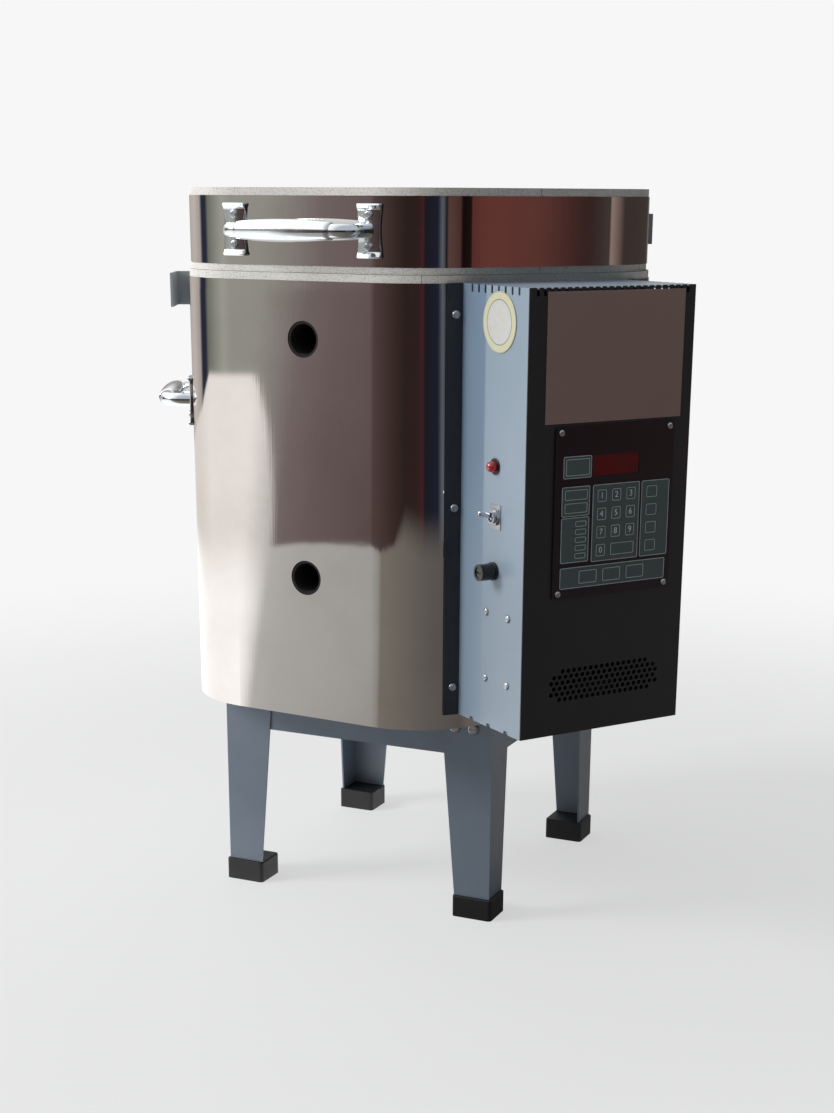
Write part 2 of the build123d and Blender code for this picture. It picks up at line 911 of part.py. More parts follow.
def knuckle_lug(root_places):
    """Lug that joins a leaf's edge to the pin, with the pin's bore."""
    with BuildSketch() as lug:
        Polygon(*root_places, align=None)
        with Locations((pin_y, pin_z)):
            Circle(knuckle_radius)
        make_hull()
        with Locations((pin_y, pin_z)):
            Circle(pin_radius + pin_fit, mode=Mode.SUBTRACT)
    return lug.sketch


body_lug = knuckle_lug(
    [
        (jacket_apothem, leaf_top_height),
        (jacket_apothem, leaf_top_height - lug_root),
        (jacket_apothem + leaf_sheet, leaf_top_height - lug_root),
        (jacket_apothem + leaf_sheet, leaf_top_height),
    ]
)
with BuildPart() as body_hinge_leaf:
    with BuildSketch(hinge_flat):
        with Locations((0, leaf_middle)):
            Rectangle(hinge_width, leaf_length)
    extrude(amount=leaf_sheet)
    for start in knuckle_starts[1::2]:
        with BuildSketch(knuckle_plane(start)):
            add(body_lug)
        extrude(amount=knuckle_width - knuckle_gap)
    add(jacket_screw_bores, mode=Mode.SUBTRACT)
body_hinge_leaf.part.label = "body_hinge_leaf"
export_step(body_hinge_leaf.part, "parts/body_hinge_leaf.step")

lid_lug = knuckle_lug(
    [
        (band_apothem, lid_leaf_foot),
        (band_apothem, lid_leaf_foot + lug_root),
        (band_apothem + leaf_sheet, lid_leaf_foot + lug_root),
        (band_apothem + leaf_sheet, lid_leaf_foot),
    ]
)
heel_tilt = lid_opening - 90
with BuildPart() as lid_hinge_leaf:
    with BuildSketch(hinge_band_flat):
        with Locations((0, lid_leaf_middle)):
            Rectangle(hinge_width, lid_leaf_length)
    extrude(amount=leaf_sheet)
    for start in knuckle_starts[0::2]:
        with BuildSketch(knuckle_plane(start)):
            add(lid_lug)
            with Locations(Location((pin_y, pin_z), heel_tilt)):
                with Locations((0, -heel_offset)):
                    Rectangle(
                        heel_length, leaf_sheet, align=(Align.MIN, Align.CENTER)
                    )
            with Locations((pin_y, pin_z)):
                Circle(pin_radius + pin_fit, mode=Mode.SUBTRACT)
        extrude(amount=knuckle_width - knuckle_gap)
    add(lid_screw_bores, mode=Mode.SUBTRACT)
lid_hinge_leaf.part.label = "lid_hinge_leaf"
export_step(lid_hinge_leaf.part, "parts/lid_hinge_leaf.step")

with BuildPart() as hinge_pin:
    with Locations(on_plane(level_plane(pin_z), 0, pin_y, 0, 0, 90, 0)):
        Cylinder(pin_radius, hinge_width + 2 * pin_overhang)
        with Locations((0, 0, -hinge_width / 2 - pin_overhang)):
            Cylinder(pin_head_radius, pin_overhang - knuckle_gap, align=flat_down)
hinge_pin.part.label = "hinge_pin"
export_step(hinge_pin.part, "parts/hinge_pin.step")

# Lid: brick slab in a steel band
with BuildPart() as lid_slab:
    with BuildSketch(level_plane(lid_base)):
        add(hexagon(lid_apothem, jacket_corner_radius - band_inset))
    extrude(amount=lid_slab_thickness)
    add(lid_screw_bores, mode=Mode.SUBTRACT)
lid_slab.part.label = "lid_slab"
export_step(lid_slab.part, "parts/lid_slab.step")

with BuildPart() as lid_band:
    with BuildSketch(level_plane(band_base)):
        add(
            shell_outline(
                band_apothem,
                jacket_corner_radius - band_inset + jacket_clearance + jacket_sheet,
                jacket_sheet,
            )
        )
    extrude(amount=band_height)
    add(lid_screw_bores, mode=Mode.SUBTRACT)
lid_band.part.label = "lid_band"
export_step(lid_band.part, "parts/lid_band.step")

# Clamp that draws the band tight: two lugs and a bolt with its nut
with BuildPart(clamp_flat) as lid_band_clamp:
    with Locations(
        (-clamp_lug_spacing / 2, 0, 0),
        (clamp_lug_spacing / 2, 0, 0),
    ):
        Box(clamp_lug_sheet, clamp_lug_height, clamp_lug_reach, align=flat_down)
    with Locations(Location((0, 0, clamp_lug_reach / 2), (0, 90, 0))):
        Cylinder(clamp_bolt_radius, clamp_lug_spacing + 2 * clamp_bolt_overhang)
lid_band_clamp.part.label = "lid_band_clamp"
export_step(lid_band_clamp.part, "parts/lid_band_clamp.step")

with BuildPart() as lid_handle:
    with Locations(lid_handle_flat):
        add(handle)
    add(lid_screw_bores, mode=Mode.SUBTRACT)
lid_handle.part.label = "lid_handle"
export_step(lid_handle.part, "parts/lid_handle.step")

long_screw = pan_screw(screw_radius, screw_length, screw_head_radius, screw_head_height)
with BuildPart() as lid_screws:
    add(screw_set(long_screw, lid_screw_places))
lid_screws.part.label = "lid_screws"
export_step(lid_screws.part, "parts/lid_screws.step")

# Holes that the box's left side shares with what it carries
side_hole_sizes = [
    (lamp_place, lamp_radius),
    (toggle_place, toggle_bushing_radius),
    (fuse_place, fuse_body_radius),
]
rivet_places = [
    side_place(
        (
            rivet_center[0] + column * rivet_spacing[0] / 2,
            rivet_center[1] + row * rivet_spacing[1] / 2,
        )
    )
    for column in (-1, 1)
    for row in (-1, 1)
]
rivet_length = box_sheet + relay_plate_sheet
rivet_bores = bore_set(rivet_radius, rivet_length, rivet_places)
panel_screw_places = [
    on_plane(box_plane, box_side, height, panel_back - panel_lip / 2, 0, 90, 0)
    for height in panel_screw_heights
]
panel_screw_length = box_sheet + panel_fit + box_sheet + panel_screw_tail
panel_screw_bores = bore_set(screw_radius, panel_screw_length, panel_screw_places)
gland_out = gland_place[1]
gland_location = on_plane(box_plane, gland_place[0], box_bottom, gland_out, 90, 0, 0)

# Vent slots along the top edges of the box
with BuildPart(box_plane) as vent_slots:
    with Locations((0, box_bottom + box_height, box_depth)):
        with GridLocations(front_vent_pitch, 1, front_vent_count, 1):
            Box(vent_width, 2 * vent_reach, 2 * vent_reach)
    for step in range(side_vent_count):
        out = box_depth / 2 + (step - (side_vent_count - 1) / 2) * side_vent_pitch
        with Locations((0, box_bottom + box_height, out)):
            with GridLocations(box_width, 1, 2, 1):
                Box(2 * vent_reach, 2 * vent_reach, vent_width)

# Box shell: top and bottom, and two sides that each end in a flange
with BuildPart() as box_shell:
    with Locations(
        on_plane(box_plane, 0, box_bottom + box_sheet / 2, box_back_gap),
        on_plane(box_plane, 0, box_top - box_sheet / 2, box_back_gap),
    ):
        Box(box_width, box_sheet, panel_back - box_back_gap, align=flat_down)
    for side, edge in ((-1, Align.MAX), (1, Align.MIN)):
        root_height = box_plane.to_local_coords(flange_root(side).position).Z
        wall_middle = side * (box_side - box_sheet / 2)
        with Locations(on_plane(box_plane, wall_middle, box_middle, root_height)):
            Box(box_sheet, box_height, panel_back - root_height, align=flat_down)
        with Locations(flange_root(side) * Location((0, box_middle, 0))):
            Box(
                flange_width + box_sheet,
                box_height,
                box_sheet,
                align=(edge, Align.CENTER, Align.MIN),
            )
    for step in (-1, 0, 1):
        notch_out = box_depth / 2 + step * notch_pitch
        with Locations(on_plane(box_plane, -box_side, box_bottom, notch_out)):
            Box(4 * box_sheet, 2 * notch_height, notch_width, mode=Mode.SUBTRACT)
    for place, radius in side_hole_sizes:
        with Locations(side_place(place)):
            Cylinder(radius, 4 * box_sheet, mode=Mode.SUBTRACT)
    with Locations(gland_location):
        Cylinder(gland_radius, 4 * box_sheet, mode=Mode.SUBTRACT)
    add(vent_slots.part, mode=Mode.SUBTRACT)
    add(jacket_screw_bores, mode=Mode.SUBTRACT)
    add(rivet_bores, mode=Mode.SUBTRACT)
    add(panel_screw_bores, mode=Mode.SUBTRACT)
box_shell.part.label = "box_shell"
export_step(box_shell.part, "parts/box_shell.step")

# Front panel: a tray that closes the box, with the grille and the board's opening
panel_face = Plane(box_plane.location * Location((0, 0, box_depth)))
lip_width = box_width - 2 * box_sheet - 2 * panel_fit
lip_height = box_height - 2 * box_sheet - 2 * panel_fit
controller_screw_places = [
    (
        controller_center[0] + column * controller_screw_spacing[0] / 2,
        controller_center[1] + row * controller_screw_spacing[1] / 2,
    )
    for column in (-1, 1)
    for row in (-1, 1)
]
grille_half = grille_length / 2 - grille_height / 2
grille_rows = int(grille_height // grille_row_pitch)


def inside_grille(x, y):
    """True where a whole hole fits inside the grille's long round-ended outline."""
    past_end = max(abs(x) - grille_half, 0)
    return sqrt(past_end**2 + y**2) < grille_height / 2 - grille_hole_radius


grille_columns = int(grille_length // grille_pitch) + 1
grille_places = [
    (grille_center[0] + x, grille_center[1] + y)
    for row in range(grille_rows)
    for column in range(-grille_columns, grille_columns)
    for y in [(row - (grille_rows - 1) / 2) * grille_row_pitch]
    for x in [(column + (row % 2) / 2) * grille_pitch]
    if inside_grille(x, y)
]
with BuildPart() as front_panel:
    with Locations(on_plane(box_plane, 0, box_middle, panel_back)):
        Box(box_width, box_height, box_sheet, align=flat_down)
        Box(lip_width, lip_height, panel_lip, align=hanging)
        Box(
            lip_width - 2 * box_sheet,
            lip_height - 2 * box_sheet,
            panel_lip,
            align=hanging,
            mode=Mode.SUBTRACT,
        )
    with Locations(on_plane(box_plane, *controller_center, panel_back)):
        Box(*board_window, 4 * box_sheet, mode=Mode.SUBTRACT)
    with BuildSketch(panel_face):
        with Locations(*grille_places):
            Circle(grille_hole_radius)
        with Locations(*controller_screw_places):
            Circle(controller_screw_radius + bore_play)
    extrude(amount=-box_sheet, mode=Mode.SUBTRACT)
    add(vent_slots.part, mode=Mode.SUBTRACT)
    add(panel_screw_bores, mode=Mode.SUBTRACT)
front_panel.part.label = "front_panel"
export_step(front_panel.part, "parts/front_panel.step")

# Sheet-metal screws of the jacket and what hangs on it, and of the front panel
short_screw = pan_screw(
    screw_radius, panel_screw_length, screw_head_radius, screw_head_height
)
with BuildPart() as sheet_screws:
    add(screw_set(long_screw, jacket_screw_places))
    add(screw_set(short_screw, panel_screw_places))
sheet_screws.part.label = "sheet_screws"
export_step(sheet_screws.part, "parts/sheet_screws.step")

# Heat shield between the kiln wall and the electrical parts
with BuildPart(box_plane) as heat_shield:
    with Locations((0, box_middle, shield_gap)):
        Box(
            box_width - 2 * box_sheet,
            box_height - 2 * box_sheet,
            box_sheet,
            align=flat_down,
        )
    with BuildSketch(control_flat.offset(shield_gap)):
        with Locations(*tail_places):
            Circle(bushing_radius + bushing_fit)
        with Locations((0, sheath_height)):
            Circle(sheath_radius + bushing_fit)
    extrude(amount=box_sheet, mode=Mode.SUBTRACT)
heat_shield.part.label = "heat_shield"
export_step(heat_shield.part, "parts/heat_shield.step")

# Blank metal plate above the controller
with BuildPart(box_plane) as label_plate:
    with Locations((*label_center, box_depth)):
        Box(*label_size, label_sheet, align=flat_down)
label_plate.part.label = "label_plate"
export_step(label_plate.part, "parts/label_plate.step")

# Controller: faceplate, keypad, display window, board and screws
plate_front = box_depth + controller_sheet
with BuildPart() as controller_plate:
    with BuildSketch(panel_face):
        with Locations(controller_center):
            RectangleRounded(*controller_size, controller_round)
        with Locations(display_center):
            Rectangle(*display_size, mode=Mode.SUBTRACT)
        with Locations(*controller_screw_places):
            Circle(controller_screw_radius + bore_play, mode=Mode.SUBTRACT)
    extrude(amount=controller_sheet)
controller_plate.part.label = "controller_plate"
export_step(controller_plate.part, "parts/controller_plate.step")

with BuildPart(box_plane) as display_window:
    with Locations((*display_center, box_depth)):
        Box(*display_size, controller_sheet - display_recess, align=flat_down)
display_window.part.label = "display_window"
export_step(display_window.part, "parts/display_window.step")

# Keypad pads, each as centre x, centre y, width, height
start_pad = on_controller(-42.5, 42.0, 31.0, 20.0)
store_pad = on_controller(-43.5, 11.0, 31.0, 27.0)
range_pad = on_controller(-43.5, -24.5, 31.0, 41.5)
number_pad = on_controller(2.0, -11.0, 53.0, 71.0)
menu_pad = on_controller(47.0, -11.0, 32.0, 71.0)
lower_pad = on_controller(1.0, -59.5, 120.0, 19.5)


def key_grid(pad, columns, rows, width, height, pitch_x, pitch_y, offset_x=0):
    """Keys in rows and columns on a pad: centre x, centre y, width, height."""
    return [
        (
            pad[0] + offset_x + (column - (columns - 1) / 2) * pitch_x,
            pad[1] + ((rows - 1) / 2 - row) * pitch_y,
            width,
            height,
        )
        for row in range(rows)
        for column in range(columns)
    ]


digit_key = (10.0, 11.0)
digit_pitch = (16.4, 16.8)
digit_block = (number_pad[0], number_pad[1] + digit_pitch[1] / 2)
last_row = digit_block[1] - 2 * digit_pitch[1]
zero_key = (number_pad[0] - digit_pitch[0], last_row, *digit_key)
enter_key = (
    number_pad[0] + digit_pitch[0] / 2,
    last_row,
    digit_key[0] + digit_pitch[0],
    digit_key[1],
)
keys = (
    key_grid(start_pad, 1, 1, 26.0, 15.0, 0, 0)
    + key_grid(store_pad, 1, 2, 25.0, 9.0, 0, 12.0)
    + key_grid(range_pad, 1, 5, 12.0, 5.0, 0, 7.4, 6.0)
    + key_grid(digit_block, 3, 3, *digit_key, *digit_pitch)
    + [zero_key, enter_key]
    + key_grid(menu_pad, 1, 4, 12.0, 10.5, 0, 16.8, -4.5)
    + key_grid(lower_pad, 3, 1, 20.0, 12.0, 27.0, 0, -2.0)
)
keypad_face = Plane(box_plane.location * Location((0, 0, plate_front)))
key_face = Plane(box_plane.location * Location((0, 0, plate_front + keypad_thickness)))
with BuildPart() as keypad:
    with BuildSketch(keypad_face):
        for x, y, width, height in (
            start_pad,
            store_pad,
            range_pad,
            number_pad,
            menu_pad,
            lower_pad,
        ):
            with Locations((x, y)):
                RectangleRounded(width, height, pad_round)
    extrude(amount=keypad_thickness)
    with BuildSketch(key_face):
        for x, y, width, height in keys:
            with Locations((x, y)):
                RectangleRounded(width, height, key_round)
    extrude(amount=key_thickness)
keypad.part.label = "keypad"
export_step(keypad.part, "parts/keypad.step")

controller_screw_locations = [
    on_plane(box_plane, x, y, plate_front) for x, y in controller_screw_places
]
controller_screw = pan_screw(
    controller_screw_radius,
    controller_screw_length,
    controller_screw_head_radius,
    controller_screw_head_height,
)
with BuildPart() as controller_screws:
    add(screw_set(controller_screw, controller_screw_locations))
controller_screws.part.label = "controller_screws"
export_step(controller_screws.part, "parts/controller_screws.step")

board_front = panel_back - standoff_length
controller_screw_bores = bore_set(
    controller_screw_radius, controller_screw_length, controller_screw_locations
)
with BuildPart() as controller_board:
    with Locations(on_plane(box_plane, *controller_center, board_front)):
        Box(
            controller_screw_spacing[0] + 2 * standoff_radius + 1,
            controller_screw_spacing[1] + 2 * standoff_radius + 1,
            board_sheet,
            align=hanging,
        )
    with Locations(
        *[on_plane(box_plane, x, y, board_front) for x, y in controller_screw_places]
    ):
        Cylinder(standoff_radius, standoff_length, align=flat_down)
    with Locations(on_plane(box_plane, *display_center, board_front)):
        Box(
            display_size[0] - 2,
            display_size[1] - 2,
            box_depth - board_front,
            align=flat_down,
        )
    with Locations(on_plane(box_plane, *chip_place, board_front)):
        Box(*chip_size, align=flat_down)
    with Locations(on_plane(box_plane, *plug_place, board_front - board_sheet)):
        Box(*plug_size, align=hanging)
    add(controller_screw_bores, mode=Mode.SUBTRACT)
controller_board.part.label = "controller_board"
export_step(controller_board.part, "parts/controller_board.step")

# Round badge, a plain ring and disc
with BuildPart() as badge:
    with Locations(side_place(badge_place)):
        Cylinder(badge_radius, badge_thickness, align=flat_down)
badge.part.label = "badge"
export_step(badge.part, "parts/badge.step")

# Pilot lamp: body with its bezel, and the domed lens
with BuildPart() as pilot_lamp_body:
    with Locations(side_place(lamp_place)):
        Cylinder(lamp_bezel_radius, lamp_bezel_height, align=flat_down)
        Cylinder(lamp_radius, lamp_body_length, align=hanging)
        Cylinder(lamp_radius - 1, lamp_bezel_height, align=flat_down, mode=Mode.SUBTRACT)
pilot_lamp_body.part.label = "pilot_lamp_body"
export_step(pilot_lamp_body.part, "parts/pilot_lamp_body.step")

with BuildPart() as pilot_lamp_lens:
    with Locations(side_place(lamp_place)):
        Cylinder(lamp_radius - 1, lamp_dome_height, align=flat_down)
    lens_edges = pilot_lamp_lens.edges().sort_by(Axis((0, 0, 0), box_plane.x_dir))
    fillet(lens_edges[0], lamp_radius - 1.5)
pilot_lamp_lens.part.label = "pilot_lamp_lens"
export_step(pilot_lamp_lens.part, "parts/pilot_lamp_lens.step")

# Toggle switch: body and bushing, indicator plate with nut, and the bat lever
with BuildPart() as toggle_body:
    with Locations(side_place(toggle_place)):
        Cylinder(toggle_bushing_radius, toggle_bushing_height, align=flat_down)
        Cylinder(toggle_bushing_radius, box_sheet, align=hanging)
        with Locations((0, 0, -box_sheet)):
            Box(*toggle_body_size, align=hanging)
        with Locations((0, 0, toggle_bushing_height)):
            Cylinder(
                toggle_mouth_radius,
                toggle_mouth_depth,
                align=hanging,
                mode=Mode.SUBTRACT,
            )
toggle_body.part.label = "toggle_body"
export_step(toggle_body.part, "parts/toggle_body.step")

nut_face = Plane(side_place(toggle_place))
with BuildPart() as toggle_nut:
    with BuildSketch(nut_face):
        Rectangle(*toggle_plate_size)
        Circle(toggle_bushing_radius, mode=Mode.SUBTRACT)
    extrude(amount=toggle_plate_sheet)
    with BuildSketch(nut_face.offset(toggle_plate_sheet)):
        RegularPolygon(toggle_nut_flats / 2, 6, major_radius=False)
        Circle(toggle_bushing_radius, mode=Mode.SUBTRACT)
    extrude(amount=toggle_nut_height)
toggle_nut.part.label = "toggle_nut"
export_step(toggle_nut.part, "parts/toggle_nut.step")

# The lever's own plane: Z runs along it, tilted up from straight out of the side
lever_location = on_plane(
    box_plane,
    -box_side - toggle_pivot_height,
    toggle_place[1],
    toggle_place[0],
    0,
    -90,
    0,
) * Location((0, 0, 0), (-toggle_angle, 0, 0))
with BuildPart(Plane(lever_location)) as toggle_lever:
    Sphere(lever_ball_radius)
    with BuildSketch(Plane(lever_location)):
        Circle(lever_root_radius)
    with BuildSketch(Plane(lever_location).offset(lever_length - lever_tip_radius)):
        Circle(lever_tip_radius)
    loft()
    with Locations((0, 0, lever_length - lever_tip_radius)):
        Sphere(lever_tip_radius)
toggle_lever.part.label = "toggle_lever"
export_step(toggle_lever.part, "parts/toggle_lever.step")

# Fuse holder, its quarter-turn cap and the fuse
with BuildPart() as fuse_holder:
    with Locations(side_place(fuse_place)):
        Cylinder(fuse_flange_radius, fuse_flange_height, align=flat_down)
        Cylinder(fuse_body_radius, fuse_body_length, align=hanging)
        with Locations((0, 0, fuse_flange_height)):
            Cylinder(
                fuse_bore_radius,
                fuse_body_length,
                align=hanging,
                mode=Mode.SUBTRACT,
            )
fuse_holder.part.label = "fuse_holder"
export_step(fuse_holder.part, "parts/fuse_holder.step")

cap_seat = fuse_flange_height + fuse_cap_gap
with BuildPart() as fuse_cap:
    with Locations(side_place(fuse_place, cap_seat)):
        Cylinder(fuse_cap_radius, fuse_cap_height, align=flat_down)
        Cylinder(fuse_spigot_radius, fuse_spigot_length, align=hanging)
        with Locations((0, 0, fuse_cap_height)):
            Cylinder(
                fuse_cap_dish_radius,
                2 * fuse_cap_dish_depth,
                mode=Mode.SUBTRACT,
            )
            Box(
                2 * fuse_cap_dish_radius,
                fuse_cap_slot_width,
                4 * fuse_cap_dish_depth,
                mode=Mode.SUBTRACT,
            )
fuse_cap.part.label = "fuse_cap"
export_step(fuse_cap.part, "parts/fuse_cap.step")

with BuildPart() as fuse:
    with Locations(side_place(fuse_place, cap_seat - fuse_spigot_length)):
        Cylinder(fuse_radius, fuse_length, align=hanging)
fuse.part.label = "fuse"
export_step(fuse.part, "parts/fuse.step")

# Relays on the plate that the four rivets hold
with BuildPart() as side_rivets:
    rivet = pan_screw(rivet_radius, rivet_length, rivet_head_radius, rivet_head_height)
    add(screw_set(rivet, rivet_places))
side_rivets.part.label = "side_rivets"
export_step(side_rivets.part, "parts/side_rivets.step")

with BuildPart() as relay_plate:
    with Locations(side_place(rivet_center, -box_sheet)):
        Box(
            relay_plate_size[0],
            relay_plate_size[1],
            relay_plate_sheet,
            align=hanging,
        )
    add(rivet_bores, mode=Mode.SUBTRACT)
relay_plate.part.label = "relay_plate"
export_step(relay_plate.part, "parts/relay_plate.step")

with BuildPart() as relays:
    with Locations(side_place(rivet_center, -box_sheet - relay_plate_sheet)):
        with GridLocations(1, relay_spacing, 1, 2):
            Box(*relay_size, align=hanging)
relays.part.label = "relays"
export_step(relays.part, "parts/relays.step")

# Transformer on the floor of the box
with BuildPart(box_plane) as transformer:
    box_floor = box_bottom + box_sheet
    with Locations((transformer_place[0], box_floor, transformer_place[1])):
        Box(*transformer_size, align=(Align.CENTER, Align.MIN, Align.CENTER))
        with Locations((0, transformer_size[1] / 2, 0)):
            Box(
                transformer_size[0] * 0.6,
                transformer_size[1] * 0.8,
                transformer_size[2] * 1.3,
            )
transformer.part.label = "transformer"
export_step(transformer.part, "parts/transformer.step")

# Terminal strip on the heat shield, where the supply comes in
with BuildPart(box_plane) as terminal_strip:
    with Locations((*strip_place, shield_front)):
        Box(*strip_size, align=flat_down)
    with Locations((*strip_place, shield_front + strip_size[2])):
        with GridLocations(strip_size[0] / strip_pole_count, 1, strip_pole_count, 1):
            Cylinder(strip_screw_radius, strip_screw_height, align=flat_down)
terminal_strip.part.label = "terminal_strip"
export_step(terminal_strip.part, "parts/terminal_strip.step")

# Strain relief for the supply cord in the floor of the box
with BuildPart() as cord_gland:
    with BuildSketch(Plane(gland_location)):
        RegularPolygon(gland_nut_flats / 2, 6, major_radius=False)
    extrude(amount=gland_nut_height)
    with Locations(gland_location):
        Cylinder(gland_radius, gland_drop, align=flat_down)
        Cylinder(gland_radius, box_sheet, align=hanging)
    with BuildSketch(Plane(gland_location).offset(-box_sheet)):
        RegularPolygon(gland_nut_flats / 2, 6, major_radius=False)
    extrude(amount=-gland_nut_height)
    with Locations(gland_location):
        Cylinder(gland_bore_radius, 4 * gland_drop, mode=Mode.SUBTRACT)
cord_gland.part.label = "cord_gland"
export_step(cord_gland.part, "parts/cord_gland.step")
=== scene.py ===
"""Looks of a small six-sided electric kiln: its finishes, its bright sheet metal, handles,
coiled elements and key legends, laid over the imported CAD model. Metres, +Z up.
"""
import bpy
import bmesh
import json
from math import cos, pi, radians, sin, tan
from mathutils import Euler, Matrix, Vector


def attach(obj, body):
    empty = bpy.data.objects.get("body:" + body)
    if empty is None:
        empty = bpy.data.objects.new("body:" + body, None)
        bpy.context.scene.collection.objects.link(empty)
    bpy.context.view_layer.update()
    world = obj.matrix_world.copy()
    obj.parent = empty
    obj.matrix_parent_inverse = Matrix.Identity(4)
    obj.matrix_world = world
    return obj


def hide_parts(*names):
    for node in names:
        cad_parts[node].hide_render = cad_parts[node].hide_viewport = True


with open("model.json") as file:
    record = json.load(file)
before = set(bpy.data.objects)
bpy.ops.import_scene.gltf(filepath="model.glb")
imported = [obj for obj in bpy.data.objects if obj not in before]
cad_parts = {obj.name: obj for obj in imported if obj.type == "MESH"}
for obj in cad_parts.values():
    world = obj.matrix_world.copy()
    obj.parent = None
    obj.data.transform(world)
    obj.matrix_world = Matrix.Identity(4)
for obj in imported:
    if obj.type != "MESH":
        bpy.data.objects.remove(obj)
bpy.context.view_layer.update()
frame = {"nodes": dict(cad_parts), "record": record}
nodes = frame["nodes"]
MM = 0.001

# Sizes shared with the CAD source, in millimetres
CHAMBER_X = -39.3
CHAMBER_Y = 6.4
CHAMBER_APOTHEM = 152.4
BODY_BASE = 219.0
JACKET_APOTHEM = 229.4
JACKET_CORNER = 93.0
JACKET_HEIGHT = 423.5
JACKET_SHEET = 0.6
BAND_APOTHEM = 227.0
BAND_CORNER = 91.4
BAND_BASE = 656.1
BAND_HEIGHT = 62.7
LID_BASE = 649.8
BRICK_APOTHEM = 228.6
FIRST_COURSE = 306.6
COURSE = 114.3
PEEPHOLE_X = 4.0
PEEPHOLE_HEIGHTS = (FIRST_COURSE + 53.8, FIRST_COURSE + 53.8 + 2 * COURSE)
PEEPHOLE_CUT = 17.0
BOX_FLAT = 60
BOX_SHIFT = 3.0
BOX_DEPTH = 110.0
BOX_SIDE = 91.5
BADGE_REACH = 63.6
BADGE_HEIGHT = 392.5

# Pull handles: two fishtail feet, two necks and a bulged grip
HANDLE_SPAN = 148.5
HANDLE_REACH = 41.0
NECK_INSET = 5.5
NECK_RADIUS = 6.5
NECK_BEND = 17.0
GRIP_RADIUS = 8.0
GRIP_BULGE = 2.4
FOOT_HALF_LENGTH = 24.0
FOOT_HALF_WAIST = 11.0
FOOT_FLARE = 1.5
FLARE_END = 17.0
FOOT_THICKNESS = 3.0
FOOT_LIP = 2.6
LIP_START = 18.5
FOOT_ROUND = 0.9
FOOT_END_DROP = 1.2
BEND_STEPS = 12
GRIP_STEPS = 24
GRIP_SIDES = 32
FOOT_STEPS = 32
SIDE_HANDLE_HEIGHT = BODY_BASE + 300.0
LID_HANDLE_HEIGHT = LID_BASE + 38.2
LID_HANDLE_SHIFT = 3.0

# Heating element: two turns in each course, in grooves cut into the chamber's wall
GROOVE_DEPTH = 13.0
COIL_RADIUS = 3.6
COIL_WIRE = 0.8
COIL_INSET = 5.5
TURN_OFFSET = 28.6
COIL_END = 9.0
LEAD_OFFSET = 12.0
LEAD_LENGTH = 100.0
LEAD_RADIUS = 2.5
LEAD_ROUND = 0.6

# Membrane keys, placed from the middle of the box's front and from the body's base
CONTROLLER_PLATE = 1.5
PAD_RISE = 0.5
KEY_RISE = 1.0
LEGEND_SUNK = 0.03
DIGITS_X = 8.0
DIGITS_Y = 213.0
KEY_COLUMN = 16.4
KEY_ROW = 16.8
DIGIT_KEY = (10.0, 11.0)
DIGIT_SIZE = 8.0
DISPLAY_PAD = (-36.5, 266.0)
PAIR_PAD = (-37.5, 235.0)
SMALL_PAD = (-37.5, 199.5)
SIDE_PAD = (53.0, DIGITS_Y)
LOWER_PAD = (7.0, 164.5)


def chamber_frame():
    """Moves a mesh made round the chamber's axis, in millimetres, to its place."""
    return Matrix.Scale(MM, 4) @ Matrix.Translation((CHAMBER_X, CHAMBER_Y, 0))


def linked(name, data):
    """Object in the scene for a mesh, curve, lamp or camera."""
    thing = bpy.data.objects.new(name, data)
    bpy.context.scene.collection.objects.link(thing)
    return thing


def place_camera():
    """The photograph's viewpoint, fitted to the box, the jacket and the lid."""
    data = bpy.data.cameras.new("camera")
    data.sensor_width = 36.0
    data.lens = 59.62
    data.shift_y = 0.2
    data.clip_end = 60.0
    camera = linked("camera", data)
    yaw, pitch, roll = 0.5116, 0.306, 0.0046
    turn = Euler((pi / 2 - pitch, 0, yaw)).to_matrix() @ Matrix.Rotation(roll, 3, "Z")
    camera.matrix_world = Matrix.Translation((0.9351, -1.7269, 0.718)) @ turn.to_4x4()
    bpy.context.scene.camera = camera


class Wire:
    """An output socket that takes part in arithmetic."""

    def __init__(self, net, socket):
        self.net = net
        self.socket = socket

    def math(self, operation, *others):
        return self.net.node(
            "ShaderNodeMath", {"operation": operation}, dict(enumerate((self, *others)))
        )

    def __add__(self, other):
        return self.math("ADD", other)

    def __sub__(self, other):
        return self.math("SUBTRACT", other)

    def __rsub__(self, other):
        return self * -1 + other

    def __mul__(self, other):
        return self.math("MULTIPLY", other)

    def __truediv__(self, other):
        return self.math("DIVIDE", other)

    __radd__ = __add__
    __rmul__ = __mul__

    def clipped(self):
        return self.net.node(
            "ShaderNodeMath", {"operation": "ADD", "use_clamp": True}, {0: self, 1: 0.0}
        )

    def between(self, low, high):
        """0 below low, 1 above high, smooth in between."""
        return self.net.node(
            "ShaderNodeMapRange",
            {"interpolation_type": "SMOOTHSTEP"},
            {"Value": self, "From Min": low, "From Max": high},
        )


